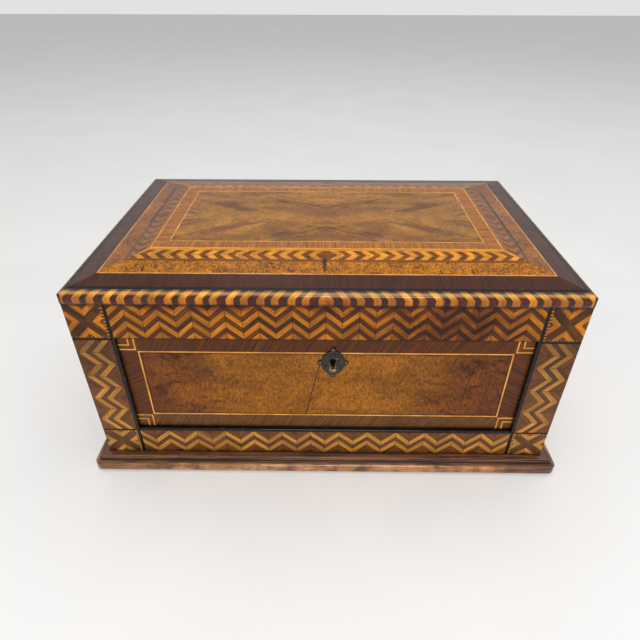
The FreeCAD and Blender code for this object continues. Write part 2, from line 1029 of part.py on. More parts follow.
def side_frame(front_sign):
    # A side's ground strips: the post at the front stops behind the front's own strip.
    inner = post_inner(half_depth)
    half_panel = panel_half(half_depth)
    front_end = board_depth
    strips = [
        rectangle(inner, front_end if front_sign > 0 else ground_depth, base_height, split_height),
        mirrored(rectangle(inner, front_end if front_sign < 0 else ground_depth, base_height, split_height)),
        rectangle(-half_panel, half_panel, base_height, rail_top),
    ]
    return [upright(points, board_width, recess) for points in strips]


def side_veneers():
    inner = post_inner(half_depth)
    half_panel = panel_half(half_depth)
    posts = both_ways([
        rectangle(inner, ground_depth, base_height, rail_top),
        rectangle(inner, ground_depth, rail_top + line_width, split_height - line_width),
    ])
    rail = rectangle(-half_panel, half_panel, base_height, rail_top)
    return [upright(points, ground_width, veneer) for points in posts + [rail]]


def lid_side_veneers():
    inner = post_inner(half_depth)
    half_panel = panel_half(half_depth)
    squares = both_ways([rectangle(inner, ground_depth, split_height, lid_top)])
    band = rectangle(-half_panel, half_panel, split_height, lid_top)
    return [upright(points, ground_width, veneer) for points in squares + [band]]


def lid_uprights(half_length, distance):
    inner = panel_half(half_length)
    lines = both_ways([rectangle(inner, post_inner(half_length), split_height, lid_top)])
    return [upright(points, distance, veneer) for points in lines]


def frames():
    grounds = front_frame()
    side_beads = []
    side_skins = []
    lid_skins = []
    case_lines = []
    for points in both_ways(post_lines(half_width, half_width)):
        case_lines.append(upright(points, ground_depth, veneer))
    lid_lines = crown_ring(edge_inset, rosewood_inset) + lid_uprights(half_width, ground_depth)
    for turn, front_sign in ((90, -1), (270, 1)):
        grounds += [turned(strip, turn) for strip in side_frame(front_sign)]
        side_beads += [turned(bead, turn) for bead in beads(half_depth, half_width)]
        side_skins += [turned(skin, turn) for skin in side_veneers()]
        lid_skins += [turned(skin, turn) for skin in lid_side_veneers()]
        for points in both_ways(post_lines(half_depth, ground_depth)):
            case_lines.append(turned(upright(points, ground_width, veneer), turn))
        lid_lines += [turned(mark, turn) for mark in lid_uprights(half_depth, ground_width)]
    write("frame_grounds", grounds)
    write("front_beads", beads(half_width, half_depth))
    write("side_beads", side_beads)
    write("side_frame_veneers", side_skins)
    write("lid_side_veneers", lid_skins)
    write("case_black_lines", case_lines)
    write("lid_black_lines", lid_lines)
    back = upright(rectangle(-half_width, half_width, base_height, split_height), ground_depth, veneer)
    back = turned(back, 180).cut(leaf_beds(split_height - leaf_thickness, split_height))
    write("back_veneer", [back])
    lid_back = upright(rectangle(-half_width, half_width, split_height, lid_top), ground_depth, veneer)
    lid_back = turned(lid_back, 180).cut(leaf_beds(split_height, split_height + leaf_thickness))
    write("lid_back_veneer", [lid_back])


# Sunk panels


def panel_corner(outer_along, outer_height, along_sign, height_sign, width, height):
    # A corner of the cross-banding: a small block, an L round it, a thin L outside, and stringing between.
    def ell(start, end):
        # An L between two distances from the corner's inner sides.
        return [
            (width - start, 0),
            (width - end, 0),
            (width - end, height - end),
            (0, height - end),
            (0, height - start),
            (width - start, height - start),
        ]

    def place(points):
        return [(outer_along + along_sign * a, outer_height + height_sign * h) for a, h in points]

    outer_line = corner_gap + corner_string
    inner_line = outer_line + corner_lap
    block = inner_line + corner_string
    woods = [
        place(rectangle(0, width - block, 0, height - block)),
        place(ell(inner_line, outer_line)),
        place(ell(corner_gap, 0)),
    ]
    strings = [place(ell(block, inner_line)), place(ell(outer_line, corner_gap))]
    return woods, strings


def panel_layout(half_panel, nested_corners):
    # Outlines of a sunk panel: cross-banding with its corners, stringing, and the field inside it.
    low = bead_top + panel_band
    high = split_height - panel_band_top
    side = half_panel - panel_band
    reach = side if nested_corners else half_panel
    bands = [
        rectangle(-reach, reach, bead_top, low),
        rectangle(-reach, reach, high, split_height),
        rectangle(side, half_panel, low, high),
        rectangle(-half_panel, -side, low, high),
    ]
    strings = []
    if nested_corners:
        for along_sign in (-1, 1):
            for height_sign, edge, height in ((-1, split_height, panel_band_top), (1, bead_top, panel_band)):
                woods, lines = panel_corner(
                    -along_sign * half_panel, edge, along_sign, height_sign, panel_band, height)
                bands += woods
                strings += lines
    field_low = low + string_width
    field_high = high - string_width
    field_side = side - string_width
    strings += [
        rectangle(-side, side, low, field_low),
        rectangle(-side, side, field_high, high),
        rectangle(field_side, side, field_low, field_high),
        rectangle(-side, -field_side, field_low, field_high),
    ]
    return bands, strings, (field_side, field_low, field_high)


def panels():
    bands, strings, field = panel_layout(panel_half(half_width), True)
    side, low, high = field
    leaves = [rectangle(-side, leaf_joint, low, high), rectangle(leaf_joint, side, low, high)]
    holes = [keyhole(keyhole_clearance, panel_face, board_depth)] + nail_holes()
    for node, pieces in (
        ("front_crossbanding", bands),
        ("front_stringing", strings),
        ("front_burr_leaves", leaves),
    ):
        solids = []
        for points in pieces:
            solids += upright(points, board_depth, veneer).cut(holes).Solids
        write(node, solids)
    bands, strings, field = panel_layout(panel_half(half_depth), False)
    side, low, high = field
    side_bands = []
    side_strings = []
    side_fields = []
    for turn in (90, 270):
        side_bands += [turned(upright(points, board_width, veneer), turn) for points in bands]
        side_strings += [turned(upright(points, board_width, veneer), turn) for points in strings]
        leaf = upright(rectangle(-side, side, low, high), board_width, veneer)
        side_fields.append(turned(leaf, turn))
    write("side_crossbanding", side_bands)
    write("side_stringing", side_strings)
    write("side_burr_panels", side_fields)


os.makedirs("parts", exist_ok=True)
base_mouldings()
case_boards()
frames()
front_parquetry()
panels()
escutcheon()
lock()
hinges()
screws()
lid_boards()
lid_top_board()
edge_mouldings()
crown()
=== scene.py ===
import functools
import json
import math

import bpy
from bpy.props import FloatProperty, FloatVectorProperty, PointerProperty
from bpy.types import Operator, Panel, PropertyGroup
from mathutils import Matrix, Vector

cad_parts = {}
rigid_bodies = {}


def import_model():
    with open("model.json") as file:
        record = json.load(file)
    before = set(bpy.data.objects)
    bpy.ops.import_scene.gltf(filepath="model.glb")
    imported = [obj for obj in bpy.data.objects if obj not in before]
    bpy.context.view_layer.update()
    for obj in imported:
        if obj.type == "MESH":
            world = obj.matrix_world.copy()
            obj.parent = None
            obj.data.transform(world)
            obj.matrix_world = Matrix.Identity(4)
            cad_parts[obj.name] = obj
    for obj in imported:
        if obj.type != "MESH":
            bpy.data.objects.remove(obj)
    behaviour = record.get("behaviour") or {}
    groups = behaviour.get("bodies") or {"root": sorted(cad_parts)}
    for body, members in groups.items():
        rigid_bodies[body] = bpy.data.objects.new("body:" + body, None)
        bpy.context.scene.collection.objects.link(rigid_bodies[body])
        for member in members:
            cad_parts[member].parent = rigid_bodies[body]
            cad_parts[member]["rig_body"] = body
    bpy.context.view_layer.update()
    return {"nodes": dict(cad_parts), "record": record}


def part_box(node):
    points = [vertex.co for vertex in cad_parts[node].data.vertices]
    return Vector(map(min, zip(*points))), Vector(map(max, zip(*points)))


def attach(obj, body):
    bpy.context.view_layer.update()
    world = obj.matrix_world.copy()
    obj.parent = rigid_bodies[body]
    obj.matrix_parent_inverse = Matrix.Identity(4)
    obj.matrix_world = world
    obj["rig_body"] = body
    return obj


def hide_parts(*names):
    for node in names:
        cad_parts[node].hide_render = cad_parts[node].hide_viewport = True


bl_info = {
    "name": "Parquetry Box Dressing",
    "version": (1, 0, 0),
    "blender": (4, 5, 0),
    "location": "View3D > Sidebar > Parquetry",
    "description": "Dresses a parquetry table box in its woods and metals, on a plain stage",
    "category": "Object",
}

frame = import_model()
nodes = frame["nodes"]


# Places on the box, in millimetres
LOW, HIGH = 0, 1
X, Y, Z = 0, 1, 2


def reach(node, end, axis):
    return 1000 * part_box(node)[end][axis]


def centre(node, axis):
    return (reach(node, LOW, axis) + reach(node, HIGH, axis)) / 2


half_width = reach("front_frame_dark_slips", HIGH, X)
half_depth = -reach("front_frame_dark_slips", LOW, Y)
base_top = reach("front_board", LOW, Z)
split = reach("front_board", HIGH, Z)
rail_top = reach("case_black_lines", LOW, Z)
lid_top = reach("lid_front_rail", HIGH, Z)
edge_top = reach("edge_moulding_front", HIGH, Z)
edge_bulge = reach("edge_moulding_front", HIGH, X) - half_width
front_panel = reach("front_crossbanding", HIGH, X)
front_post = reach("front_beads", HIGH, X)
side_panel = reach("side_crossbanding", HIGH, Y)
side_post = reach("side_beads", HIGH, Y)
post_width = half_width - front_post
crown_foot_x = reach("lid_top_board", HIGH, X)
crown_foot_y = reach("lid_top_board", HIGH, Y)
feather_end = reach("feather_margins", HIGH, X)
feather_middle = centre("feather_light_slips", Z)
field_end = reach("front_burr_leaves", HIGH, X)
side_field_end = reach("side_burr_panels", HIGH, Y)
field_low = reach("front_burr_leaves", LOW, Z)
field_top = reach("front_burr_leaves", HIGH, Z)
band_low = reach("front_crossbanding", LOW, Z)
panel_out = -reach("front_burr_leaves", LOW, Y)
plate_x = centre("escutcheon", X)
plate_z = centre("escutcheon", Z)


# Marks of age, the quirk's painted shade and the keyhole's painted glint, and where they are, in millimetres
LEAF_JOINT = 3.0
PANEL_CRACKS = (
    ((-3.5, 99.0), (-14.5, field_low), 0.45),
    ((104.0, 98.0), (99.0, 60.0), 0.35),
    ((117.0, 86.0), (113.0, field_low), 0.3),
)
LID_STAIN_MIDDLE = 82.0
LID_STAIN_FADE = (72.0, 20.0)
EDGE_STAIN_MIDDLE = 6.0
EDGE_STAIN_FADE = (22.0, 4.0)
OPEN_JOINT_LEFT = (-12.0, 72.0)
OPEN_JOINT_RIGHT = (-58.0, 60.0)
CROWN_BACK_FADE = (30.0, 80.0)
FEATHER_MARKS = (((-12.0, -70.0, 163.5), 1.3), ((-1.0, -74.5, 162.8), 1.9))
BORDER_MARKS = (
    ((-1.2, -76.5, 162.3), 1.9),
    ((-0.8, -79.0, 161.9), 1.7),
    ((-1.2, -81.5, 161.4), 1.5),
    ((-0.9, -84.0, 161.0), 1.3),
    ((-35.0, -82.0, 161.3), 1.2),
    ((-103.0, 84.0, 160.0), 3.0),
    ((0.0, 85.0, 160.0), 3.4),
)
BASE_QUIRK = (8.02, 8.65)
THROAT_DROP = 5.2


# Colours of age and of painted light and shade: a wash is a plain factor for the wood below it, the others
# are written as they look
CASE_WASH = (0.89, 0.955, 1.70, 1.0)
LID_WASH = (0.725, 0.615, 0.105, 1.0)
# The edge's two washes paint shade on its underside and light on its upper part
EDGE_FOOT_SHADE_WASH = (0.74, 0.58, 0.06, 1.0)
EDGE_HEAD_LIGHT_WASH = (1.12, 1.18, 1.05, 1.0)
CASE_DUST = (0.47, 0.335, 0.20)
LID_STAIN = (0.60, 0.44, 0.38)
FADED_LINE = (0.52, 0.34, 0.16)
BURR_END = (0.72, 0.58, 0.50)
BURR_PATCH = (0.50, 0.36, 0.32)
WARM_ROSEWOOD = (0.38, 0.19, 0.12)
FEATHER_BACK = (0.45, 0.27, 0.11)
FEATHER_SIDE_SHADE = (0.47, 0.29, 0.13)
BORDER_SIDE_SHADE = (0.86, 0.82, 0.88)
BORDER_BACK = (0.44, 0.28, 0.13)
TOP_CLOUD = (0.66, 0.56, 0.50)
TOP_STREAK = (0.60, 0.50, 0.44)
EDGE_SIDE = (0.44, 0.29, 0.15)
EDGE_STAIN = (0.60, 0.30, 0.22)
# A painted highlight along the upper shoulder of the lid's edge
EDGE_HIGHLIGHT = (0.93, 0.77, 0.55)


# How light the dark fibres of a wood stay
LIGHT_SLIP_DEPTH = 0.70
BROWN_SLIP_DEPTH = 0.54
DARK_SLIP_DEPTH = 0.50
BOARD_DEPTH = 0.70


# Slant of the panel band's grain
BAND_SLANT = 0.55


# Limits for cleaning and softening a copied solid
MERGE_DISTANCE = 0.000002
FLAT_ANGLE = math.radians(1.0)
SHARP_ANGLE = math.radians(40.0)
SMOOTH_ANGLE = math.radians(45.0)


# Stage. A lamp has a name, a place, a width, a height and a power.
FLOOR_SIZE = 12.0
SENSOR_WIDTH = 36.0
LAMP_AIM = Vector((0.0, 0.0, 0.08))
LAMPS = (
    ("ceiling_light", (0.1, 0.3, 1.9), 1.8, 1.8, 9.0),
    ("front_light", (0.1, -1.45, 1.30), 1.0, 0.3, 18.0),
)


# Settings that a user would change


def colour(name, description, default):
    return FloatVectorProperty(
        name=name, description=description, subtype="COLOR_GAMMA", size=3, min=0.0, max=1.0, default=default)


def length(name, description, default):
    return FloatProperty(name=name, description=description, unit="LENGTH", precision=5, default=default)


def share(name, description, default):
    return FloatProperty(
        name=name, description=description, subtype="FACTOR", min=0.0, max=1.0, default=default)


def angle(name, description, default):
    return FloatProperty(name=name, description=description, subtype="ANGLE", default=default)


class BoxColours(PropertyGroup):
    light_slip: colour("Light slip", "Amber wood of the zigzags", (0.87, 0.62, 0.205))
    brown_slip: colour("Brown slip", "Middle brown of the zigzags", (0.545, 0.34, 0.12))
    dark_slip: colour("Dark slip", "Dark stripe of the zigzags and crosses", (0.485, 0.318, 0.148))
    ebony: colour("Ebony", "Black beads and lines", (0.075, 0.068, 0.062))
    boxwood: colour("Boxwood", "Thin light lines", (0.93, 0.69, 0.34))
    front_burr: colour("Front burr", "Golden field of the sunk panels", (0.66, 0.44, 0.088))
    front_burr_dark: colour("Front burr figure", "Dark figure of the sunk panels", (0.35, 0.20, 0.07))
    panel_band: colour("Panel band", "Cross-banding of the sunk panels", (0.45, 0.258, 0.055))
    panel_band_worn: colour("Worn panel band", "Dull foot of the cross-banding", (0.525, 0.385, 0.235))
    top_burr: colour("Top burr", "Burr leaves on the crown", (0.77, 0.555, 0.21))
    top_burr_dark: colour("Top burr figure", "Dark figure on the crown", (0.34, 0.22, 0.10))
    border_burr: colour("Border burr", "Orange burr border", (0.88, 0.60, 0.11))
    border_burr_dark: colour("Border burr figure", "Dark eyes of the border", (0.36, 0.18, 0.03))
    rosewood: colour("Rosewood", "Dark outer border", (0.355, 0.188, 0.098))
    feather_light: colour("Feather light", "Light slips of the feather band", (0.90, 0.63, 0.21))
    feather_dark: colour("Feather dark", "Dark slips of the feather band", (0.58, 0.365, 0.12))
    top_band: colour("Crown band", "Cross-banding of the crown", (0.75, 0.50, 0.155))
    base: colour("Base", "Red-brown base moulding", (0.55, 0.405, 0.31))
    base_worn: colour("Worn base", "Where the base has lost its polish", (0.92, 0.69, 0.48))
    edge_light: colour("Edge light", "Light blocks of the lid's edge", (0.87, 0.615, 0.19))
    edge_red: colour("Edge red", "Red-brown blocks of the lid's edge", (0.42, 0.19, 0.05))
    edge_dark: colour("Edge dark", "Dark blocks of the lid's edge", (0.37, 0.225, 0.09))
    back: colour("Back", "Plain veneer of the back", (0.42, 0.26, 0.15))
    carcass: colour("Carcass", "Boards inside the box", (0.52, 0.33, 0.19))
    # Also painted shade: it darkens splits, creases and recess edges, and the lock's drill pin
    grime_and_shade: colour("Grime", "Old dirt in corners and joints", (0.13, 0.09, 0.06))
    brass: colour("Brass", "Hinges and screws", (0.70, 0.54, 0.29))
    iron: colour("Iron", "Lock", (0.42, 0.40, 0.38))
    escutcheon: colour("Escutcheon", "Blackened plate", (0.285, 0.275, 0.25))
    # Also the painted glint at the foot of the keyhole
    escutcheon_wear_and_glint: colour("Worn escutcheon", "Rubbed spots and nails", (0.70, 0.58, 0.44))
    floor: colour("Floor", "Pale floor", (0.97, 0.967, 0.962))


class BoxPattern(PropertyGroup):
    zigzag_period: length("Zigzag period", "Length of one zigzag", 0.0216)
    zigzag_rise: length("Zigzag rise", "Height of the middle stripe's zigzag", 0.0096)
    slip_width: length("Slip width", "Height of a stripe", 0.0044)
    lid_drop: length("Lid drop", "How far the lid's zigzag sits below the middle of its band", 0.0015)
    line_width: length("Line width", "Black lines across the posts", 0.0015)
    cross_arm: length("Cross arm", "Dark arms of the corner crosses", 0.0060)
    cross_light: length("Cross light", "Light angles in the corner crosses", 0.0034)
    mosaic: length("Mosaic", "Tiny blocks beside the black lines", 0.0015)
    mosaic_pair: length("Mosaic pair", "A light and a dark one of the tiny blocks", 0.0026)
    edge_light: length("Edge light", "Light blocks of the lid's edge", 0.0048)
    edge_red: length("Edge red", "Red-brown blocks of the lid's edge", 0.0057)
    edge_dark: length("Edge dark", "Dark blocks of the lid's edge", 0.0041)
    edge_slant: length("Edge slant", "How far a block shifts on its way round the edge", 0.0062)
    feather_pair: length("Feather pair", "A light and a dark slip of the feather band", 0.010)


class BoxFinish(PropertyGroup):
    polish: share("Polish", "Strength of the shellac coat", 0.22)
    polish_roughness: share("Polish roughness", "Blur of the shellac coat", 0.14)
    depth: FloatProperty(
        name="Depth", description="How much old polish deepens the colours", min=0.5, max=2.0, default=1.22)
    edge_polish: share("Edge polish", "Strength of the coat on lid edge, base and beads", 0.45)
    edge_roughness: share("Edge roughness", "Blur of the coat on lid edge, base and beads", 0.075)
    gloss: share("Gloss", "Specular level of the woods", 0.12)
    grain_depth: length("Grain depth", "Depth of the open grain", 0.00007)
    edge_round: length("Edge round", "Softening of the mouldings' edges", 0.0003)
    bead_round: length("Bead round", "Rounding of the black beads", 0.0009)
    plate_round: length("Plate round", "Softening of the escutcheon's edges", 0.00022)


class BoxStage(PropertyGroup):
    camera_place: FloatVectorProperty(
        name="Camera place", description="Where the camera stands", subtype="TRANSLATION", unit="LENGTH",
        precision=5, default=(-0.00128, -0.3736, 0.3185))
    camera_tilt: angle("Camera tilt", "Turn up from straight down", math.radians(55.68))
    camera_roll: angle("Camera roll", "Turn about the line of sight", -0.002)
    camera_yaw: angle("Camera yaw", "Turn to the left", 0.011)
    lens: FloatProperty(name="Lens", description="Focal length", unit="CAMERA", default=28.06)
    sky: share("Sky", "Even light from all round", 0.50)
    backdrop: share("Backdrop", "Brightness behind the box", 0.76)


def settings():
    scene = bpy.context.scene
    return scene.box_colours, scene.box_pattern, scene.box_finish


# Short ways to add shader nodes


class Wire:
    """An output of a shader node, to add, multiply and measure like a number"""

    def __init__(self, socket):
        self.socket = socket

    def __add__(self, other):
        return calc("ADD", self, other)

    def __sub__(self, other):
        return calc("SUBTRACT", self, other)

    def __rsub__(self, other):
        return calc("SUBTRACT", other, self)

    def __mul__(self, other):
        return calc("MULTIPLY", self, other)

    def __truediv__(self, other):
        return calc("DIVIDE", self, other)

    def __abs__(self):
        return calc("ABSOLUTE", self)

    __radd__ = __add__
    __rmul__ = __mul__


def wires(sockets):
    return {socket.name: Wire(socket) for socket in sockets}


def put(socket, value):
    if isinstance(value, Wire):
        socket.id_data.links.new(value.socket, socket)
    else:
        socket.default_value = value


def add(tree, kind, inputs, **choices):
    node = tree.nodes.new(kind)
    for key, choice in choices.items():
        setattr(node, key, choice)
    for key, value in inputs.items():
        put(node.inputs[key], value)
    return node


def tree_of(inputs):
    return next(value.socket.id_data for value in inputs.values() if isinstance(value, Wire))


def follow(kind, inputs, **choices):
    # Adds a node to the tree that its inputs come from, and gives its outputs.
    return [Wire(socket) for socket in add(tree_of(inputs), kind, inputs, **choices).outputs]


def calc(operation, *values):
    return follow("ShaderNodeMath", dict(enumerate(values)), operation=operation)[0]


def over(value, limit):
    return calc("GREATER_THAN", value, limit)


def under(value, limit):
    return calc("LESS_THAN", value, limit)


def inside(value, low, high):
    return over(value, low) * under(value, high)


def most(*values):
    return functools.reduce(lambda first, second: calc("MAXIMUM", first, second), values)


def least(*values):
    return functools.reduce(lambda first, second: calc("MINIMUM", first, second), values)


def chosen(switch, off, on):
    # A value that is off where the switch is 0 and on where it is 1.
    return calc("MULTIPLY_ADD", switch, on - off, off)


def fade(value, low, high):
    # Rises smoothly from 0 where the value is low to 1 where it is high.
    inputs = {"Value": value, "From Min": low, "From Max": high}
    return follow("ShaderNodeMapRange", inputs, interpolation_type="SMOOTHSTEP")[0]


def ranged(value, low, high):
    # Spreads a value between 0 and 1 from low to high.
    return follow("ShaderNodeMapRange", {"Value": value, "To Min": low, "To Max": high})[0]


def point(x, y, z=0.0):
    return follow("ShaderNodeCombineXYZ", {0: x, 1: y, 2: z})[0]


def axes(place):
    return follow("ShaderNodeSeparateXYZ", {0: place})


def moved(vector, shift):
    return follow("ShaderNodeVectorMath", {0: vector, 1: shift}, operation="ADD")[0]


def stretched(vector, scale):
    # Scale is one number, or one for each axis.
    factors = scale if isinstance(scale, tuple) else (scale, scale, scale)
    return follow("ShaderNodeVectorMath", {0: vector, 1: factors}, operation="MULTIPLY")[0]


def clouds(place, scale, detail=2.0, roughness=0.5, distortion=0.0, in_colour=False):
    inputs = {
        "Vector": stretched(place, scale), "Scale": 1.0, "Detail": detail, "Roughness": roughness,
        "Distortion": distortion}
    value, tint = follow("ShaderNodeTexNoise", inputs)
    return tint if in_colour else value


def chance(value):
    return follow("ShaderNodeTexWhiteNoise", {"W": value}, noise_dimensions="1D")[0]


def mixed(factor, first, second, blend="MIX"):
    inputs = {0: factor, 6: first, 7: second}
    return follow("ShaderNodeMix", inputs, data_type="RGBA", blend_type=blend)[2]


def shaded(tint, level):
    # A colour made lighter or darker by a level about 1.
    grey = follow("ShaderNodeCombineColor", {0: level, 1: level, 2: level})[0]
    return mixed(1.0, tint, grey, "MULTIPLY")


def linear(channel):
    if channel <= 0.04045:
        return channel / 12.92
    return ((channel + 0.055) / 1.055) ** 2.4


def paint(tint, level=1.0):
    return tuple(level * linear(channel) for channel in tint) + (1.0,)


VALUE = "NodeSocketFloat"
VECTOR = "NodeSocketVector"


def new_group(name, inputs, outputs):
    # An empty node group: the wires that it is given and the sockets that it fills.
    group = bpy.data.node_groups.new(name, "ShaderNodeTree")
    for side, sockets in (("INPUT", inputs), ("OUTPUT", outputs)):
        for label, kind in sockets.items():
            group.interface.new_socket(name=label, in_out=side, socket_type=kind)
    given = wires(group.nodes.new("NodeGroupInput").outputs)
    return given, group.nodes.new("NodeGroupOutput").inputs


def use(name, **inputs):
    # A node group's outputs by name. An input called half_length goes to Half Length.
    inputs = {label.replace("_", " ").title(): value for label, value in inputs.items()}
    group = bpy.data.node_groups[name]
    return wires(add(tree_of(inputs), "ShaderNodeGroup", inputs, node_tree=group).outputs)


# Effects that several materials share


def wood_fibre_group():
    # Long fibres and short dark pores. X of Grain runs along the fibres.
    given, made = new_group(
        "Wood Fibre", {"Grain": VECTOR, "Seed": VALUE}, {"Tone": VALUE, "Pores": VALUE})
    grain = moved(given["Grain"], point(given["Seed"] * 137.0, given["Seed"] * 71.0))
    fine = clouds(grain, (0.04, 0.85, 0.85), 3.0, 0.65)
    broad = clouds(grain, (0.02, 0.24, 0.24))
    pores = clouds(grain, (0.10, 1.6, 1.6))
    put(made["Tone"], fade(fine * 0.6 + broad * 0.4, 0.39, 0.61))
    put(made["Pores"], fade(pores, 0.55, 0.66))


def burr_figure_group():
    # Soft swirls, fine curled threads and small dark eyes.
    given, made = new_group(
        "Burr Figure", {"Place": VECTOR}, {"Tone": VALUE, "Threads": VALUE, "Flecks": VALUE, "Eyes": VALUE})
    place = given["Place"]
    bend = moved(clouds(place, 0.06, 3.0, in_colour=True), (-0.5, -0.5, -0.5))
    swirled = moved(place, stretched(bend, 22.0))
    tone = clouds(swirled, 0.07, 6.0, 0.66, 0.5)
    threads = clouds(swirled, 0.44, 4.0, 0.68, 1.6)
    flecks = clouds(swirled, 0.70, 2.0, 0.6, 1.2)
    cells = follow("ShaderNodeTexVoronoi", {"Vector": stretched(swirled, 0.22), "Scale": 1.0})[0]
    put(made["Tone"], fade(tone, 0.32, 0.68))
    put(made["Threads"], fade(threads, 0.41, 0.57))
    put(made["Flecks"], fade(flecks, 0.56, 0.66))
    put(made["Eyes"], fade(cells, 0.24, 0.08) * fade(clouds(place, 0.05), 0.46, 0.60))


def old_polish_group():
    # Cloudy shade of old shellac, its gloss, and fine scratches.
    given, made = new_group(
        "Old Polish", {"Place": VECTOR}, {"Shade": VALUE, "Roughness": VALUE, "Scratches": VALUE})
    place = given["Place"]
    put(made["Shade"], ranged(clouds(place, 0.02, 3.0), 0.78, 1.22))
    put(made["Roughness"], ranged(clouds(place, 0.07, 4.0, 0.6), 0.26, 0.52))
    put(made["Scratches"], fade(clouds(place, (0.05, 1.6, 1.6), 1.0), 0.70, 0.78))


def parquetry_group():
    # Layout of zigzag bands, posts and corner crosses on a face. Run is across the face from its middle.
    pattern = settings()[1]
    rise = 1000 * pattern.zigzag_rise
    slip = 1000 * pattern.slip_width
    line_width = 1000 * pattern.line_width
    mosaic = 1000 * pattern.mosaic
    period = 1000 * pattern.zigzag_period
    rail_middle = (base_top + rail_top) / 2
    lid_middle = (split + lid_top) / 2
    post_length = split - rail_top - 2 * line_width
    post_step = post_length / (2 * round(post_length / period))
    given, made = new_group(
        "Parquetry Layout",
        {"Run": VALUE, "Height": VALUE, "Half Length": VALUE, "Half Panel": VALUE, "Post Edge": VALUE,
         "Step": VALUE},
        {"Grain": VECTOR, "Seed": VALUE, "Joint": VALUE, "Wood": VALUE, "Mosaic": VALUE, "Block": VALUE})
    run = given["Run"]
    height = given["Height"]
    side = abs(run)
    at_end = over(side, given["Post Edge"])
    in_lid = over(height, split)
    below_lid = 1.0 - in_lid
    on_post = at_end * below_lid * over(height, rail_top)
    in_square = at_end - on_post

    band_middle = chosen(in_lid, rail_middle, lid_middle - 1000 * pattern.lid_drop)
    along = chosen(on_post, run + given["Half Panel"], split - line_width - height)
    across_post = given["Half Length"] - side - post_width / 2
    across = chosen(on_post, height - band_middle, across_post)
    step = chosen(on_post, given["Step"], post_step)
    start = 1.0 - in_lid * 2.0
    swing = calc("PINGPONG", along, step) / step
    wave = start * (rise / 2) * (1.0 - swing * 2.0)
    stripe = calc("ROUND", (across - wave) / slip)
    leg = calc("FLOOR", along / step)
    odd_leg = calc("FLOORED_MODULO", leg, 2.0)

    square_height = chosen(in_lid, rail_top - base_top, lid_top - split)
    from_side = side - (given["Half Length"] - post_width / 2)
    from_middle = height - chosen(in_lid, rail_middle, lid_middle)
    quarter = calc("SIGN", from_side * from_middle)
    diagonal = calc("SQRT", square_height * square_height + post_width ** 2)
    off_cross = abs(abs(from_side) * square_height - abs(from_middle) * post_width) / diagonal

    slope = chosen(in_square, start * (odd_leg * 2.0 - 1.0), quarter)
    along_slip = chosen(in_square, along, from_side)
    across_slip = chosen(in_square, across, from_middle)
    climb = math.atan(2 * rise / period)
    lean = slope * math.sin(climb)
    grain_along = along_slip * math.cos(climb) + across_slip * lean
    grain_across = across_slip * math.cos(climb) - along_slip * lean
    put(made["Grain"], point(grain_along, grain_across))

    corner = calc("SIGN", from_side) * 2.3 + quarter * 5.9
    number = chosen(in_square, leg * 3.7 + stripe * 11.3, corner)
    area = calc("SIGN", run) * (at_end * 41.0) + in_lid * 83.0
    put(made["Seed"], chance(number + area + on_post * 19.0))

    from_joint = calc("PINGPONG", along, step * 0.5)
    put(made["Joint"], fade(from_joint, 0.32, 0.08) * (1.0 - in_square))

    stripe_size = least(abs(stripe), chosen(in_lid, 2.0, 4.0))
    even = 1.0 - calc("FLOORED_MODULO", stripe_size, 2.0)
    band_wood = even * (2.0 - over(stripe_size, 0.5))
    arm = 500 * pattern.cross_arm
    dark_arm = (1.0 - over(off_cross, arm)) * 2.0
    cross_wood = dark_arm + over(off_cross, arm + 1000 * pattern.cross_light)
    put(made["Wood"], chosen(in_square, band_wood, cross_wood))

    beside_line = under(side, given["Post Edge"] + mosaic)
    above_split = in_lid * under(height, split + mosaic)
    under_line = below_lid * over(height, rail_top - mosaic)
    put(made["Mosaic"], in_square * most(beside_line, most(above_split, under_line) * 0.45))
    walk = chosen(beside_line, side, height)
    block = calc("FLOOR", walk / (500 * pattern.mosaic_pair))
    put(made["Block"], calc("FLOORED_MODULO", block, 2.0))


def crown_group():
    # Where a point lies on the crown: how far in from the edge, how far along it, and on which kind of side.
    given, made = new_group(
        "Crown Layout", {"Place": VECTOR}, {"Inset": VALUE, "Along": VALUE, "Short Side": VALUE})
    x, y, z = axes(given["Place"])
    inset_x = half_width - abs(x)
    inset_y = half_depth - abs(y)
    short = under(inset_x, inset_y)
    put(made["Short Side"], short)
    put(made["Inset"], least(inset_x, inset_y))
    put(made["Along"], chosen(short, x, y))


def dark_mark_group():
    # A round dark mark with a ragged rim.
    given, made = new_group(
        "Dark Mark", {"Place": VECTOR, "Centre": VECTOR, "Radius": VALUE}, {"Mark": VALUE})
    ends = {0: given["Place"], 1: given["Centre"]}
    away = follow("ShaderNodeVectorMath", ends, operation="DISTANCE")[1] / given["Radius"]
    ragged = clouds(given["Place"], 0.8, 3.0)
    put(made["Mark"], fade(away + (ragged - 0.5) * 1.2, 1.0, 0.6))


# Materials


def new_material(name):
    # A new material, and the place of each point on its piece in millimetres.
    material = bpy.data.materials.new(name)
    material.use_nodes = True
    place = Wire(add(material.node_tree, "ShaderNodeTexCoord", {}).outputs["Object"])
    return material, follow("ShaderNodeVectorMath", {0: place, "Scale": 1000.0}, operation="SCALE")[0]


def fill(material, inputs):
    shader = material.node_tree.nodes["Principled BSDF"]
    for name, value in inputs.items():
        put(shader.inputs[name], value)
    return material


def polish(material, place, tint, height, on_edge=False):
    # Old shellac over a wood: its shade, gloss and grain.
    finish = settings()[2]
    aged = use("Old Polish", place=place)
    deep = follow("ShaderNodeGamma", {"Color": tint, "Gamma": finish.depth})[0]
    relief = {
        "Height": height + aged["Scratches"] * 0.5, "Distance": finish.grain_depth, "Strength": 0.6}
    return fill(material, {
        "Base Color": shaded(deep, aged["Shade"]),
        "Roughness": aged["Roughness"],
        "Specular IOR Level": finish.gloss,
        "Coat Weight": finish.edge_polish if on_edge else finish.polish,
        "Coat Roughness": finish.edge_roughness if on_edge else finish.polish_roughness,
        "Normal": follow("ShaderNodeBump", relief, invert=True)[0],
    })


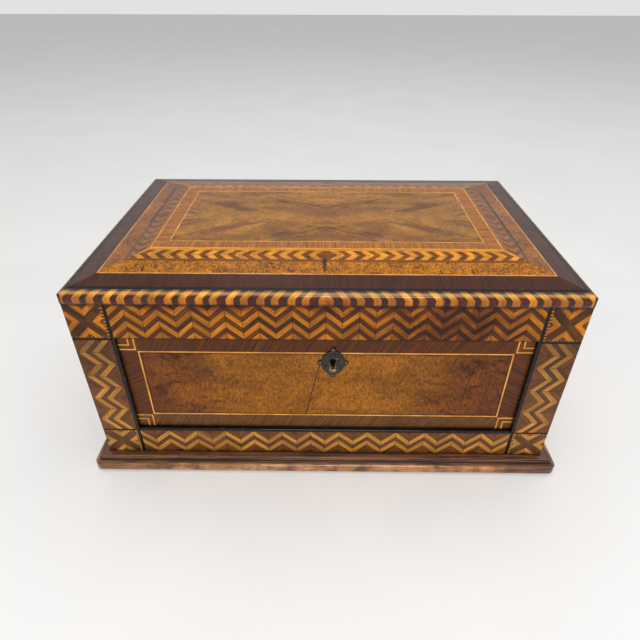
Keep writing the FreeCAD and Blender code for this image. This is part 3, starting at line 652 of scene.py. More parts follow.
def fibre_tint(fibre, tint, depth=0.62, pores=0.45):
    # A wood's colour along its fibres, with darker pores.
    tone = mixed(fibre["Tone"], paint(tint, depth), paint(tint, 1.12))
    return mixed(fibre["Pores"] * pores, tone, paint(tint, 0.3))


def board_material(name, order):
    # Plain wood whose grain runs along the first axis in order.
    material, place = new_material(name)
    parts = axes(place)
    fibre = use("Wood Fibre", grain=point(*[parts[axis] for axis in order]), seed=0.3)
    tint = fibre_tint(fibre, settings()[0].carcass, BOARD_DEPTH)
    return polish(material, place, tint, fibre["Pores"])


def back_material():
    # Plain veneer of the back, with painted shade in the split and under the edge, and darker along the
    # foot.
    colours = settings()[0]
    material, place = new_material("back_walnut")
    x, y, z = axes(place)
    fibre = use("Wood Fibre", grain=point(x, z, y), seed=0.3)
    # Painted shade in the split and under the lid's edge; the foot is darker in ragged patches
    gap = fade(abs(z - split), 0.7, 0.25)
    foot = fade(z, base_top + 5.0, base_top) * fade(clouds(place, 0.05, 4.0, 0.6), 0.35, 0.60)
    head = fade(z, lid_top - 2.5, lid_top)
    darkening = most(gap * 0.95, most(foot, head) * 0.6)
    tint = mixed(darkening, fibre_tint(fibre, colours.back, 0.55), paint(colours.grime_and_shade, 0.7))
    return polish(material, place, tint, most(fibre["Pores"], gap * 3.0))


def parquetry_layout(run, height, on_front):
    if on_front:
        half_length, half_panel, post_edge = half_width, front_panel, front_post
    else:
        half_length, half_panel, post_edge = half_depth, side_panel, side_post
    legs = 2 * round(2 * half_panel / (1000 * settings()[1].zigzag_period))
    return use(
        "Parquetry Layout", run=run, height=height, half_length=half_length, half_panel=half_panel,
        post_edge=post_edge, step=2 * half_panel / legs)


def slip_finish(material, place, z, layout, tint, pores, stained=0.0):
    # What all parquetry slips share: uneven slips, joints, tiny blocks, stains, a duller case that darkens
    # towards its top, painted shade under the edge and in the split, and a darker foot.
    colours = settings()[0]
    tint = shaded(tint, ranged(layout["Seed"], 0.80, 1.16))
    block = mixed(layout["Block"], paint(colours.dark_slip, 0.45), paint(colours.light_slip, 0.95))
    tint = mixed(layout["Mosaic"], tint, block)
    worn = clouds(place, 0.16, 3.0)
    joint = layout["Joint"] * ranged(fade(worn, 0.40, 0.60), 0.45, 0.92)
    tint = mixed(joint, tint, paint(colours.grime_and_shade))

    in_lid = over(z, split)
    on_case = mixed(0.24, mixed(1.0, tint, CASE_WASH, "MULTIPLY"), paint(CASE_DUST))
    # Darker towards the top of the case
    on_case = shaded(on_case, calc("MULTIPLY_ADD", fade(z, 55.0, 108.0), -0.30, 1.06))
    tint = mixed(in_lid, on_case, mixed(1.0, tint, LID_WASH, "MULTIPLY"))

    ragged = clouds(place, 0.05, 4.0, 0.6)
    stain = stained * in_lid * fade(ragged, 0.25, 0.60)
    edge_stain = fade(z, lid_top - 9.0, lid_top) * fade(ragged, 0.46, 0.60)
    tint = mixed(most(stain, edge_stain) * 0.88, tint, paint(LID_STAIN), "MULTIPLY")
    # Painted shade under the lid's edge and in the split between lid and case; the foot is darker in ragged
    # patches
    foot = fade(z, base_top + 4.0, base_top) * fade(worn, 0.35, 0.60)
    head = in_lid * fade(z, lid_top - 2.2, lid_top - 0.4)
    gap = in_lid * fade(z, split + 0.9, split + 0.1)
    tint = mixed(most(most(foot, head) * 0.55, gap * 0.8), tint, paint(colours.grime_and_shade))
    return polish(material, place, tint, most(layout["Joint"], pores))


def slip_material(name, wood, depth):
    # Slips of one wood on the front, with the stain on the right of the lid.
    material, place = new_material(name)
    x, y, z = axes(place)
    layout = parquetry_layout(x, z, True)
    fibre = use("Wood Fibre", grain=layout["Grain"], seed=layout["Seed"])
    tint = fibre_tint(fibre, wood, depth)
    stained = fade(abs(x - LID_STAIN_MIDDLE), *LID_STAIN_FADE)
    return slip_finish(material, place, z, layout, tint, fibre["Pores"], stained)


def side_parquetry_material():
    # All the slips of a side, drawn on plain veneer.
    colours = settings()[0]
    material, place = new_material("side_parquetry")
    x, y, z = axes(place)
    layout = parquetry_layout(y, z, False)
    fibre = use("Wood Fibre", grain=layout["Grain"], seed=layout["Seed"])
    light = fibre_tint(fibre, colours.light_slip, LIGHT_SLIP_DEPTH)
    brown = fibre_tint(fibre, colours.brown_slip, BROWN_SLIP_DEPTH)
    dark = fibre_tint(fibre, colours.dark_slip, DARK_SLIP_DEPTH)
    tint = mixed(over(layout["Wood"], 0.5), light, brown)
    tint = mixed(over(layout["Wood"], 1.5), tint, dark)
    return slip_finish(material, place, z, layout, tint, fibre["Pores"])


def ebony_material(name, is_bead):
    colours = settings()[0]
    material, place = new_material(name)
    worn = clouds(place, 0.25, 4.0)
    tint = mixed(fade(worn, 0.58, 0.80) * 0.6, paint(colours.ebony), paint(colours.dark_slip))
    return polish(material, place, tint, worn, is_bead)


def boxwood_material():
    # Light stringing, faded along the back of the crown.
    colours = settings()[0]
    material, place = new_material("boxwood")
    x, y, z = axes(place)
    patches = clouds(place, 0.09, 4.0)
    tint = mixed(fade(patches, 0.35, 0.70), paint(colours.boxwood, 0.70), paint(colours.boxwood, 1.08))
    at_back = fade(y, 40.0, 80.0) * over(z, edge_top + 0.5)
    tint = mixed(at_back * 0.40, tint, paint(FADED_LINE))
    return polish(material, place, tint, patches)


def burr_tint(figure, light, dark, depth, flecks, eyes):
    # A burr's colour from its figure: how deep its swirls, its flecks and its eyes are.
    tone = figure["Tone"] * 0.38 + figure["Threads"] * 0.62
    tint = mixed(ranged(tone, 1.0 - depth, 1.0), paint(dark), paint(light, 1.08))
    tint = mixed(figure["Flecks"] * flecks, tint, paint(dark, 0.75))
    return mixed(figure["Eyes"] * eyes, tint, paint(dark, 0.40))


def crack_line(x, z, start, end, width):
    # A fine crack between two points of the front: 1 on it and 0 away from it.
    run = Vector(end) - Vector(start)
    unit = run.normalized()
    from_x = x - start[0]
    from_z = z - start[1]
    along = from_x * unit.x + from_z * unit.y
    wander = clouds(point(along, 0.0), (0.22, 1.0, 1.0), 3.0)
    across = abs(from_x * unit.y - from_z * unit.x + (wander - 0.5) * 1.8)
    return fade(across, width, 0.3 * width) * inside(along, 0.0, run.length)


def panel_burr_material(name, on_front):
    # Golden in the middle and darker to both ends. The front has two leaves, cracks and dark patches.
    colours = settings()[0]
    material, place = new_material(name)
    x, y, z = axes(place)
    run, end, layer = (x, field_end, 40.0) if on_front else (y, side_field_end, 170.0)
    figure = use("Burr Figure", place=point(run, z, layer))
    tint = burr_tint(figure, colours.front_burr, colours.front_burr_dark, 0.58, 0.18, 0.36)
    swell = clouds(point(run, z, 90.0), (0.022, 0.055, 1.0), 4.0, 0.6, 0.7)
    tint = shaded(tint, ranged(fade(swell, 0.34, 0.66), 0.80, 1.10))
    ripples = clouds(point(run, z), (0.75, 0.28, 1.0), 3.0, 0.6, 0.6)
    tint = shaded(tint, ranged(fade(ripples, 0.35, 0.65), 0.76, 1.26))
    drift = run + (clouds(place, 0.04, 4.0, 0.6) - 0.5) * (0.55 * end)
    ends = most(fade(drift, -0.45 * end, -end), fade(drift, 0.40 * end, 0.95 * end))
    tint = mixed(ends * 0.80, tint, paint(BURR_END), "MULTIPLY")
    from_edge = least(end - abs(run), z - field_low, field_top - z)
    tint = mixed(fade(from_edge, 2.2, 0.0) * 0.5, tint, paint(colours.grime_and_shade))
    height = figure["Flecks"] + figure["Threads"] * -0.9
    if on_front:
        joint = fade(abs(x - LEAF_JOINT), 0.28, 0.1)
        crack = most(joint * 0.45, *[crack_line(x, z, *line) for line in PANEL_CRACKS])
        tint = mixed(crack, tint, paint(colours.grime_and_shade, 0.6))
        patches = fade(clouds(place, (0.05, 0.05, 0.09), 5.0, 0.7, 0.8), 0.50, 0.64)
        patches = patches * fade(abs(x), 30.0, 95.0)
        tint = mixed(patches * 0.7, tint, paint(BURR_PATCH), "MULTIPLY")
        height = most(height, crack * 3.0)
    return polish(material, place, tint, height)


def panel_band_material(name, on_front):
    # Dark cross-banding with slanted grain, duller at its foot and lighter in its corners, with painted
    # shade along its top and foot edges.
    colours = settings()[0]
    material, place = new_material(name)
    x, y, z = axes(place)
    run, inner = (x, field_end) if on_front else (y, side_field_end)
    on_upright = over(abs(run), inner + 0.5)
    grain_along = chosen(on_upright, z + run * BAND_SLANT, run)
    outwards = calc("SIGN", run) * BAND_SLANT
    grain_across = chosen(on_upright, run - z * BAND_SLANT, z + run * outwards)
    fibre = use("Wood Fibre", grain=point(grain_along, grain_across * 2.2), seed=on_upright)
    tint = fibre_tint(fibre, colours.panel_band, 0.46, 0.5)
    at_foot = under(z, field_low - 1.0)
    tint = mixed(at_foot * 0.6, tint, fibre_tint(fibre, colours.panel_band_worn, 0.62, 0.4))
    at_corner = on_upright * most(over(z, field_top + 1.0), at_foot)
    tint = mixed(at_corner * 0.55, tint, fibre_tint(fibre, colours.brown_slip, 0.75))
    # Painted shade along the top and foot of the sunk band, next to the lid and the bead
    from_edge = least(split - z, z - band_low)
    tint = mixed(fade(from_edge, 2.0, 0.0) * 0.55, tint, paint(colours.grime_and_shade))
    return polish(material, place, tint, fibre["Pores"])


def crossed_fibre(place, seed):
    # Fibres across a ring of the crown.
    crown = use("Crown Layout", place=place)
    grain = point(crown["Inset"], crown["Along"])
    return use("Wood Fibre", grain=grain, seed=crown["Short Side"] * 0.37 + seed)


def rosewood_material():
    material, place = new_material("rosewood")
    fibre = crossed_fibre(place, 0.1)
    tint = fibre_tint(fibre, settings()[0].rosewood, 0.62, 0.28)
    warm = fade(clouds(place, (0.018, 0.05, 0.05), 3.0), 0.45, 0.70)
    tint = mixed(warm * 0.45, tint, paint(WARM_ROSEWOOD))
    return polish(material, place, tint, fibre["Pores"])


def top_band_material():
    material, place = new_material("crown_band")
    fibre = crossed_fibre(place, 0.7)
    tint = fibre_tint(fibre, settings()[0].top_band, 0.56, 0.35)
    return polish(material, place, tint, fibre["Pores"])


def crown_crack(place):
    # Open joint at the feather band's foot: on the left along its rear half, on the right nearly all along.
    x, y, z = axes(place)
    wander = clouds(place, 0.12, 3.0)
    near = under(abs(abs(x) - feather_end), ranged(wander, 0.2, 1.3))
    open_left = under(x, 0.0) * inside(y, *OPEN_JOINT_LEFT)
    open_right = over(x, 0.0) * inside(y, *OPEN_JOINT_RIGHT)
    return near * (most(open_left, open_right) * fade(wander, 0.34, 0.44))


def dark_marks(place, marks):
    return [use("Dark Mark", place=place, centre=middle, radius=radius)["Mark"] for middle, radius in marks]


def feather_finish(material, place, y, crown, tint, pores):
    # Stains, painted shade on the short sides, the open joint and the dark spots of the feather band.
    colours = settings()[0]
    tint = mixed(fade(y, *CROWN_BACK_FADE) * 0.55, tint, paint(FEATHER_BACK))
    # Painted shade on the short sides
    tint = mixed(crown["Short Side"] * 0.66, tint, paint(FEATHER_SIDE_SHADE))
    crack = crown_crack(place)
    tint = mixed(crack, tint, paint(colours.grime_and_shade, 0.6))
    tint = mixed(most(*dark_marks(place, FEATHER_MARKS)) * 0.9, tint, paint(colours.grime_and_shade))
    return polish(material, place, tint, most(pores, crack * 3.0))


def feather_material(name, wood, depth):
    # Slips of the feather band, bright along the front, browner behind, and darker on the short sides as
    # painted shade.
    material, place = new_material(name)
    y = axes(place)[Y]
    crown = use("Crown Layout", place=place)
    slip = calc("FLOOR", crown["Along"] / (500 * settings()[1].feather_pair))
    seed = chance(slip + crown["Short Side"] * 57.0)
    fibre = use("Wood Fibre", grain=point(crown["Along"], crown["Inset"]), seed=seed)
    tint = shaded(fibre_tint(fibre, wood, depth), ranged(seed, 0.80, 1.16))
    return feather_finish(material, place, y, crown, tint, fibre["Pores"])


def feather_margin_material():
    # Margins of the feather band: amber at its head and brown at its foot.
    colours = settings()[0]
    material, place = new_material("feather_margin")
    x, y, z = axes(place)
    crown = use("Crown Layout", place=place)
    fibre = use("Wood Fibre", grain=point(crown["Along"], crown["Inset"]), seed=0.6)
    brown = fibre_tint(fibre, colours.feather_dark, 0.7)
    amber = fibre_tint(fibre, colours.border_burr, 0.8)
    tint = mixed(over(z, feather_middle), brown, amber)
    return feather_finish(material, place, y, crown, tint, fibre["Pores"])


def border_burr_material():
    # Orange burr, duller on the short sides as painted shade and browner behind, with dark spots and short
    # cracks.
    colours = settings()[0]
    material, place = new_material("burr_border")
    y = axes(place)[Y]
    crown = use("Crown Layout", place=place)
    spread = point(crown["Along"], crown["Inset"], crown["Short Side"] * 90.0)
    figure = use("Burr Figure", place=stretched(spread, (1.3, 1.3, 1.0)))
    tint = burr_tint(figure, colours.border_burr, colours.border_burr_dark, 1.0, 0.70, 0.90)
    # Painted shade on the short sides
    tint = mixed(crown["Short Side"] * 0.85, tint, paint(BORDER_SIDE_SHADE), "MULTIPLY")
    tint = mixed(fade(y, *CROWN_BACK_FADE) * 0.45, tint, paint(BORDER_BACK))
    cracks = fade(clouds(spread, (0.55, 0.10, 1.0)), 0.63, 0.68) * fade(figure["Tone"], 0.80, 0.45)
    mark = most(cracks, crown_crack(place), *dark_marks(place, BORDER_MARKS))
    tint = mixed(mark * 0.9, tint, paint(colours.grime_and_shade))
    return polish(material, place, tint, most(figure["Flecks"], mark))


def top_burr_material():
    # Two leaves opened like a book: the figure is mirrored at their joint, with streaks towards the corners.
    colours = settings()[0]
    material, place = new_material("top_burr")
    x, y, z = axes(place)
    side = abs(x)
    figure = use("Burr Figure", place=point(side, y, 310.0))
    tint = burr_tint(figure, colours.top_burr, colours.top_burr_dark, 0.62, 0.18, 0.40)
    cloud = fade(clouds(point(side, y, 55.0), (0.012, 0.034, 1.0), 5.0, 0.62, 0.9), 0.46, 0.64)
    tint = mixed(cloud * 0.55, tint, paint(TOP_CLOUD), "MULTIPLY")
    lean = side * 0.42 + abs(y + 6.0) * -0.9
    streak = fade(clouds(point(side * 0.02, lean * 0.11, 7.0), 1.0, 4.0, 0.6, 0.6), 0.50, 0.66)
    tint = mixed(streak * 0.65, tint, paint(TOP_STREAK), "MULTIPLY")
    joint = fade(side, 0.25, 0.08)
    tint = mixed(joint * 0.4, tint, paint(colours.grime_and_shade))
    return polish(material, place, tint, figure["Flecks"])


def edge_material(name, along_x):
    # Slanted blocks round the edge of the lid, mirrored at the middle of each side, with black corners.
    colours, pattern = settings()[:2]
    material, place = new_material(name)
    x, y, z = axes(place)
    if along_x:
        run, across, run_end, foot = x, y, crown_foot_x, crown_foot_y
    else:
        run, across, run_end, foot = y, x, crown_foot_y, crown_foot_x
    light = 1000 * pattern.edge_light
    red = 1000 * pattern.edge_red
    period = 2 * light + red + 1000 * pattern.edge_dark
    inwards = foot - abs(across)
    climb = z - lid_top + (inwards + edge_bulge)
    lean = most((climb - 1.0) * 0.1, 0.0)
    walk = abs(run) + lean * (1000 * pattern.edge_slant)
    turn = calc("FLOORED_MODULO", walk, period)
    in_red = inside(turn, light, light + red)
    in_dark = over(turn, 2 * light + red)
    block = in_red * 31.0 + in_dark * 57.0 + over(turn, light + red) * 0.5 + calc("SIGN", run) * 0.25
    seed = chance(calc("FLOOR", walk / period) + block)
    fibre = use("Wood Fibre", grain=point(climb, walk), seed=seed)
    tint = mixed(
        in_red, fibre_tint(fibre, colours.edge_light, 0.74), fibre_tint(fibre, colours.edge_red))
    tint = mixed(in_dark, tint, fibre_tint(fibre, colours.edge_dark))
    tint = shaded(tint, ranged(seed, 0.80, 1.20))
    if not along_x:
        tint = mixed(0.65, tint, paint(EDGE_SIDE))

    ragged = clouds(place, 0.05, 4.0, 0.6)
    at_middle = fade(abs(x - EDGE_STAIN_MIDDLE), *EDGE_STAIN_FADE) * fade(ragged, 0.30, 0.55)
    stain = most(fade(ragged, 0.56, 0.72), at_middle)
    tint = mixed(stain * 0.6, tint, paint(EDGE_STAIN), "MULTIPLY")
    past_end = abs(run) - (run_end + 1.6)
    tint = mixed(fade(past_end, 0.0, 0.3), tint, paint(colours.ebony))
    # Painted shade and light: darker and deeper below the bulge, lighter above it
    below = mixed(1.0, tint, EDGE_FOOT_SHADE_WASH, "MULTIPLY")
    above = mixed(1.0, tint, EDGE_HEAD_LIGHT_WASH, "MULTIPLY")
    tint = mixed(fade(climb, 0.0, 5.0), below, above)
    # A painted highlight: a paler band along the upper shoulder of the edge
    highlight_band = fade(climb, 3.2, 5.4) * fade(climb, 8.6, 6.4)
    tint = mixed(highlight_band * 0.42, tint, paint(EDGE_HIGHLIGHT))
    # Painted shade in the creases at the foot and the head of the edge
    darkening = most(fade(z, lid_top + 3.2, lid_top), fade(z, edge_top - 0.8, edge_top))
    tint = mixed(darkening * 0.7, tint, paint(colours.grime_and_shade))
    return polish(material, place, tint, fibre["Pores"], True)


def base_material(name, along_x):
    # Red-brown moulding with its polish worn off the nose in patches, painted shade in the quirk and along
    # the floor, and a darker step next to the case.
    colours = settings()[0]
    material, place = new_material(name)
    x, y, z = axes(place)
    run, across = (x, y) if along_x else (y, x)
    fibre = use("Wood Fibre", grain=point(run, across, z), seed=0.3)
    on_nose = fade(z, 0.8, 3.0) * fade(z, 8.2, 7.2)
    rubbed = fade(clouds(place, 0.05, 5.0, 0.65), 0.34, 0.60)
    rubbed = rubbed * (on_nose * fade(abs(run), 178.0, 105.0))
    worn = fibre_tint(fibre, colours.base_worn, 0.7)
    tint = mixed(rubbed * 0.75, fibre_tint(fibre, colours.base, 0.42), worn)
    out = most(abs(x) - half_width, abs(y) - half_depth)
    corner = over(z, base_top - 0.6) * fade(out, 1.4, 0.3)
    # Painted shade in the quirk and along the floor; the step's top is darker next to the case
    darkening = most(inside(z, *BASE_QUIRK), fade(z, 0.8, 0.0), corner)
    tint = mixed(darkening * 0.8, tint, paint(colours.grime_and_shade))
    return polish(material, place, tint, most(fibre["Pores"], rubbed), True)


def metal_finish(material, tint, fine, roughness, metallic, depth, strength):
    # A metal with fine noise in its gloss and on its face.
    relief = {"Height": fine, "Distance": depth, "Strength": strength}
    return fill(material, {
        "Base Color": tint,
        "Roughness": ranged(fine, *roughness),
        "Metallic": metallic,
        "Normal": follow("ShaderNodeBump", relief)[0],
    })


def escutcheon_material():
    # Blackened plate, rubbed bright in spots, with worn brass and a painted glint at the foot of the
    # keyhole.
    colours = settings()[0]
    material, place = new_material("escutcheon_plate")
    x, y, z = axes(place)
    worn = clouds(place, 0.5, 5.0, 0.6)
    fine = clouds(place, 2.2, 3.0)
    tint = mixed(fade(worn, 0.36, 0.70), paint(colours.escutcheon, 0.45), paint(colours.escutcheon, 1.2))
    # Worn brass with a painted glint at the foot of the keyhole's throat
    from_x = (x - plate_x) * 0.9
    from_z = (z - (plate_z - THROAT_DROP)) * 0.55
    from_throat = calc("SQRT", from_x * from_x + from_z * from_z)
    throat_glint = fade(from_throat, 2.6, 1.7) * fade(worn, 0.38, 0.56)
    bright = most(throat_glint, fade(worn, 0.62, 0.72) * 0.5)
    on_face = over(y * -1.0, panel_out + 0.85)
    tint = mixed(bright * on_face, tint, paint(colours.escutcheon_wear_and_glint))
    return metal_finish(material, tint, fine, (0.40, 0.66), 0.85, 0.00010, 0.6)


def metal_material(name, tint, roughness, spotting):
    # An aged metal. Spotting is the level of its dark spots.
    material, place = new_material(name)
    worn = clouds(place, 0.35, 5.0, 0.6)
    fine = clouds(place, 2.2, 3.0)
    tint = mixed(fade(worn, 0.35, 0.70), paint(tint, spotting), paint(tint, 1.15))
    return metal_finish(material, tint, fine, (roughness - 0.12, roughness + 0.18), 1.0, 0.00008, 0.5)


# Pieces


def dress(material, *names):
    for name in names:
        slots = nodes[name].data.materials
        slots.clear()
        slots.append(material)


def slot_of(node):
    for subpart in frame["record"]["subparts"]:
        if subpart["node"] == node:
            return subpart["material_slot"]
    raise RuntimeError("no subpart is named " + node)


def finished_copy(node, material, rounding, segments):
    # A copy of a solid with its doubles merged, its flat faces joined and its edges softened.
    piece = bpy.data.objects.new(node + "_finished", nodes[node].data.copy())
    bpy.context.scene.collection.objects.link(piece)
    bpy.ops.object.select_all(action="DESELECT")
    piece.select_set(True)
    bpy.context.view_layer.objects.active = piece
    bpy.ops.object.mode_set(mode="EDIT")
    bpy.ops.mesh.select_all(action="SELECT")
    bpy.ops.mesh.remove_doubles(threshold=MERGE_DISTANCE)
    bpy.ops.mesh.dissolve_limited(angle_limit=FLAT_ANGLE)
    bpy.ops.object.mode_set(mode="OBJECT")
    bevel = piece.modifiers.new("Softened edges", "BEVEL")
    bevel.width = rounding
    bevel.segments = segments
    bevel.limit_method = "ANGLE"
    bevel.angle_limit = SHARP_ANGLE
    bpy.ops.object.modifier_apply(modifier=bevel.name)
    bpy.ops.object.shade_smooth_by_angle(angle=SMOOTH_ANGLE)
    piece.data.materials.clear()
    piece.data.materials.append(material)
    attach(piece, nodes[node]["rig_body"])
    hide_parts(node)
    slot_of(node)


def finished_mouldings(kind, make_material):
    # Four mitred lengths, two along the box and two across it.
    rounding = settings()[2].edge_round
    lengthwise = make_material(kind + "_lengthwise", True)
    crosswise = make_material(kind + "_crosswise", False)
    for side, material in (
        ("front", lengthwise), ("back", lengthwise), ("left", crosswise), ("right", crosswise),
    ):
        finished_copy(kind + "_moulding_" + side, material, rounding, 2)


class PARQUETRY_OT_effects(Operator):
    """Build the node groups that the woods share"""

    bl_idname = "parquetry.effects"
    bl_label = "Shared Effects"

    def execute(self, context):
        wood_fibre_group()
        burr_figure_group()
        old_polish_group()
        parquetry_group()
        crown_group()
        dark_mark_group()
        return {"FINISHED"}


class PARQUETRY_OT_carcass(Operator):
    """Give the boards of the case and the lid their wood"""

    bl_idname = "parquetry.carcass"
    bl_label = "Boards"

    def execute(self, context):
        lengthwise = board_material("carcass_lengthwise", (X, Z, Y))
        crosswise = board_material("carcass_crosswise", (Y, Z, X))
        flat = board_material("carcass_flat", (X, Y, Z))
        dress(lengthwise, "front_board", "back_board", "lid_front_rail", "lid_back_rail", "frame_grounds")
        dress(crosswise, "left_board", "right_board", "lid_left_rail", "lid_right_rail")
        dress(flat, "bottom_board", "lid_top_board")
        dress(back_material(), "back_veneer", "lid_back_veneer")
        return {"FINISHED"}


class PARQUETRY_OT_base(Operator):
    """Finish the four lengths of the base moulding"""

    bl_idname = "parquetry.base"
    bl_label = "Base Moulding"

    def execute(self, context):
        finished_mouldings("base", base_material)
        return {"FINISHED"}


class PARQUETRY_OT_edge(Operator):
    """Finish the striped round edge of the lid"""

    bl_idname = "parquetry.edge"
    bl_label = "Striped Edge"

    def execute(self, context):
        finished_mouldings("edge", edge_material)
        return {"FINISHED"}


class PARQUETRY_OT_zigzags(Operator):
    """Give the zigzag bands and corner crosses their woods"""

    bl_idname = "parquetry.zigzags"
    bl_label = "Zigzags and Crosses"

    def execute(self, context):
        colours = context.scene.box_colours
        light = slip_material("light_slips", colours.light_slip, LIGHT_SLIP_DEPTH)
        brown = slip_material("brown_slips", colours.brown_slip, BROWN_SLIP_DEPTH)
        dark = slip_material("dark_slips", colours.dark_slip, DARK_SLIP_DEPTH)
        dress(light, "front_frame_light_slips", "lid_front_light_slips")
        dress(brown, "front_frame_brown_slips", "lid_front_brown_slips")
        dress(dark, "front_frame_dark_slips", "lid_front_dark_slips")
        dress(side_parquetry_material(), "side_frame_veneers", "lid_side_veneers")
        return {"FINISHED"}


class PARQUETRY_OT_lines(Operator):
    """Finish the black beads and lines and the boxwood stringing"""

    bl_idname = "parquetry.lines"
    bl_label = "Beads and Lines"

    def execute(self, context):
        bead = ebony_material("ebony_bead", True)
        for node in ("front_beads", "side_beads"):
            finished_copy(node, bead, context.scene.box_finish.bead_round, 4)
        dress(ebony_material("ebony_line", False), "case_black_lines", "lid_black_lines")
        dress(boxwood_material(), "front_stringing", "side_stringing", "top_stringing")
        return {"FINISHED"}


class PARQUETRY_OT_panels(Operator):
    """Give the sunk panels their burr and cross-banding"""

    bl_idname = "parquetry.panels"
    bl_label = "Sunk Panels"

    def execute(self, context):
        dress(panel_burr_material("front_burr", True), "front_burr_leaves")
        dress(panel_burr_material("side_burr", False), "side_burr_panels")
        dress(panel_band_material("front_band", True), "front_crossbanding")
        dress(panel_band_material("side_band", False), "side_crossbanding")
        return {"FINISHED"}


class PARQUETRY_OT_crown(Operator):
    """Give the rings of the lid's crown their woods"""

    bl_idname = "parquetry.crown"
    bl_label = "Crown"

    def execute(self, context):
        colours = context.scene.box_colours
        dress(rosewood_material(), "rosewood_border")
        dress(border_burr_material(), "burr_border")
        dress(feather_material("feather_light", colours.feather_light, 0.8), "feather_light_slips")
        dress(feather_material("feather_dark", colours.feather_dark, 0.6), "feather_dark_slips")
        dress(feather_margin_material(), "feather_margins")
        dress(top_band_material(), "top_crossbanding")
        dress(top_burr_material(), "top_burr_leaves")
        return {"FINISHED"}


class PARQUETRY_OT_metalwork(Operator):
    """Finish the escutcheon, the lock, the hinges and the screws"""

    bl_idname = "parquetry.metalwork"
    bl_label = "Metalwork"

    def execute(self, context):
        colours = context.scene.box_colours
        rounding = context.scene.box_finish.plate_round
        # The lock's drill pin is dark iron, kept near black as painted shade inside the lock
        dark = metal_material("pin_shade_metal", colours.grime_and_shade, 0.55, 0.6)
        rubbed = metal_material("rubbed_nails", colours.escutcheon_wear_and_glint, 0.40, 0.35)
        brass = metal_material("aged_brass", colours.brass, 0.38, 0.55)
        iron = metal_material("lock_iron", colours.iron, 0.42, 0.55)
        finished_copy("escutcheon", escutcheon_material(), rounding, 3)
        finished_copy("escutcheon_nails", rubbed, rounding, 3)
        finished_copy("case_hinge_leaves", brass, rounding / 2, 2)
        finished_copy("lid_hinge_leaves", brass, rounding / 2, 2)
        dress(brass, "hinge_pins", "case_screws", "lid_screws")
        dress(iron, "lock_case", "lock_cap", "lock_bolt", "lock_spring", "link_plate")
        dress(dark, "lock_drill_pin")
        return {"FINISHED"}


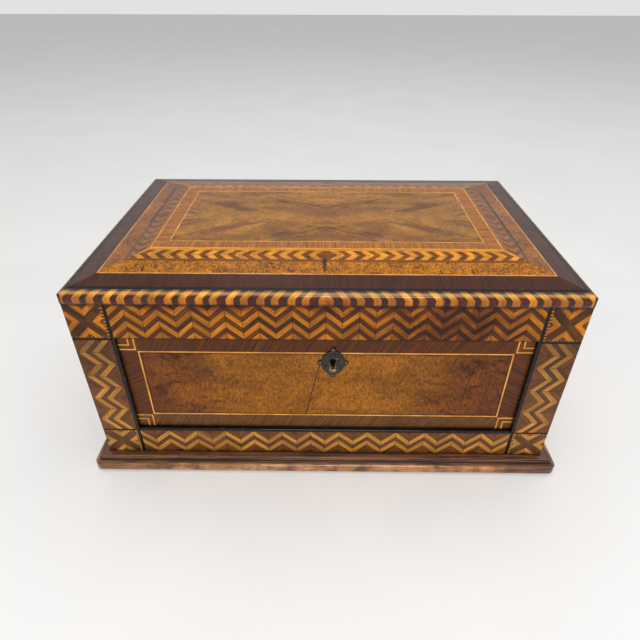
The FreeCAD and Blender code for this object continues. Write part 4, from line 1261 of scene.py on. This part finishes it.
class PARQUETRY_OT_stage(Operator):
    """Set the floor, the light and the camera"""

    bl_idname = "parquetry.stage"
    bl_label = "Stage"

    def execute(self, context):
        scene = context.scene
        self.lay_floor(scene)
        self.set_light(scene)
        self.set_camera(scene)
        return {"FINISHED"}

    def lay_floor(self, scene):
        bpy.ops.object.select_all(action="DESELECT")
        bpy.ops.mesh.primitive_plane_add(size=FLOOR_SIZE, location=(0.0, 0.0, 0.0))
        floor = bpy.context.active_object
        floor.name = "floor"
        material, place = new_material("floor_cloth")
        soft = ranged(clouds(place, 0.006, 3.0), 0.94, 1.04)
        fill(material, {"Base Color": shaded(paint(scene.box_colours.floor), soft), "Roughness": 0.9})
        floor.data.materials.append(material)

    def set_light(self, scene):
        stage = scene.box_stage
        world = bpy.data.worlds.new("studio")
        scene.world = world
        world.use_nodes = True
        tree = world.node_tree
        lit = tree.nodes["Background"]
        lit.inputs["Color"].default_value = (1.0, 1.0, 1.0, 1.0)
        lit.inputs["Strength"].default_value = stage.sky
        grey = (stage.backdrop, stage.backdrop, stage.backdrop, 1.0)
        shown = add(tree, "ShaderNodeBackground", {"Color": grey})
        rays = wires(add(tree, "ShaderNodeLightPath", {}).outputs)
        seen = most(rays["Is Camera Ray"], rays["Is Glossy Ray"], rays["Is Transmission Ray"])
        sky = {0: seen, 1: Wire(lit.outputs[0]), 2: Wire(shown.outputs[0])}
        put(tree.nodes["World Output"].inputs["Surface"], follow("ShaderNodeMixShader", sky)[0])
        for name, place, width, height, power in LAMPS:
            bpy.ops.object.light_add(type="AREA", location=place)
            lamp = bpy.context.active_object
            lamp.name = name
            lamp.data.shape = "RECTANGLE"
            lamp.data.size = width
            lamp.data.size_y = height
            lamp.data.energy = power
            aim = LAMP_AIM - Vector(place)
            lamp.rotation_euler = aim.to_track_quat("-Z", "Y").to_euler()

    def set_camera(self, scene):
        stage = scene.box_stage
        bpy.ops.object.camera_add(location=stage.camera_place)
        camera = bpy.context.active_object
        camera.name = "camera"
        camera.rotation_euler = (stage.camera_tilt, stage.camera_roll, stage.camera_yaw)
        camera.data.sensor_width = SENSOR_WIDTH
        camera.data.lens = stage.lens
        camera.data.clip_start = 0.01
        scene.camera = camera
        scene.view_settings.view_transform = "Standard"


class PARQUETRY_PT_panel(Panel):
    """Steps that dress the box, in order"""

    bl_idname = "PARQUETRY_PT_panel"
    bl_label = "Parquetry Box"
    bl_space_type = "VIEW_3D"
    bl_region_type = "UI"
    bl_category = "Parquetry"

    def draw(self, context):
        column = self.layout.column()
        for step in STEPS:
            column.operator(step.bl_idname)


GROUPS = (
    ("box_colours", BoxColours),
    ("box_pattern", BoxPattern),
    ("box_finish", BoxFinish),
    ("box_stage", BoxStage),
)
STEPS = (
    PARQUETRY_OT_effects,
    PARQUETRY_OT_carcass,
    PARQUETRY_OT_base,
    PARQUETRY_OT_edge,
    PARQUETRY_OT_zigzags,
    PARQUETRY_OT_lines,
    PARQUETRY_OT_panels,
    PARQUETRY_OT_crown,
    PARQUETRY_OT_metalwork,
    PARQUETRY_OT_stage,
)


def register():
    for name, group in GROUPS:
        bpy.utils.register_class(group)
        setattr(bpy.types.Scene, name, PointerProperty(type=group))
    for step in STEPS:
        bpy.utils.register_class(step)
    bpy.utils.register_class(PARQUETRY_PT_panel)


def unregister():
    bpy.utils.unregister_class(PARQUETRY_PT_panel)
    for step in reversed(STEPS):
        bpy.utils.unregister_class(step)
    for name, group in reversed(GROUPS):
        delattr(bpy.types.Scene, name)
        bpy.utils.unregister_class(group)


def main():
    register()
    bpy.ops.parquetry.effects()
    bpy.ops.parquetry.carcass()
    bpy.ops.parquetry.base()
    bpy.ops.parquetry.edge()
    bpy.ops.parquetry.zigzags()
    bpy.ops.parquetry.lines()
    bpy.ops.parquetry.panels()
    bpy.ops.parquetry.crown()
    bpy.ops.parquetry.metalwork()
    bpy.ops.parquetry.stage()


if __name__ == "__main__":
    main()
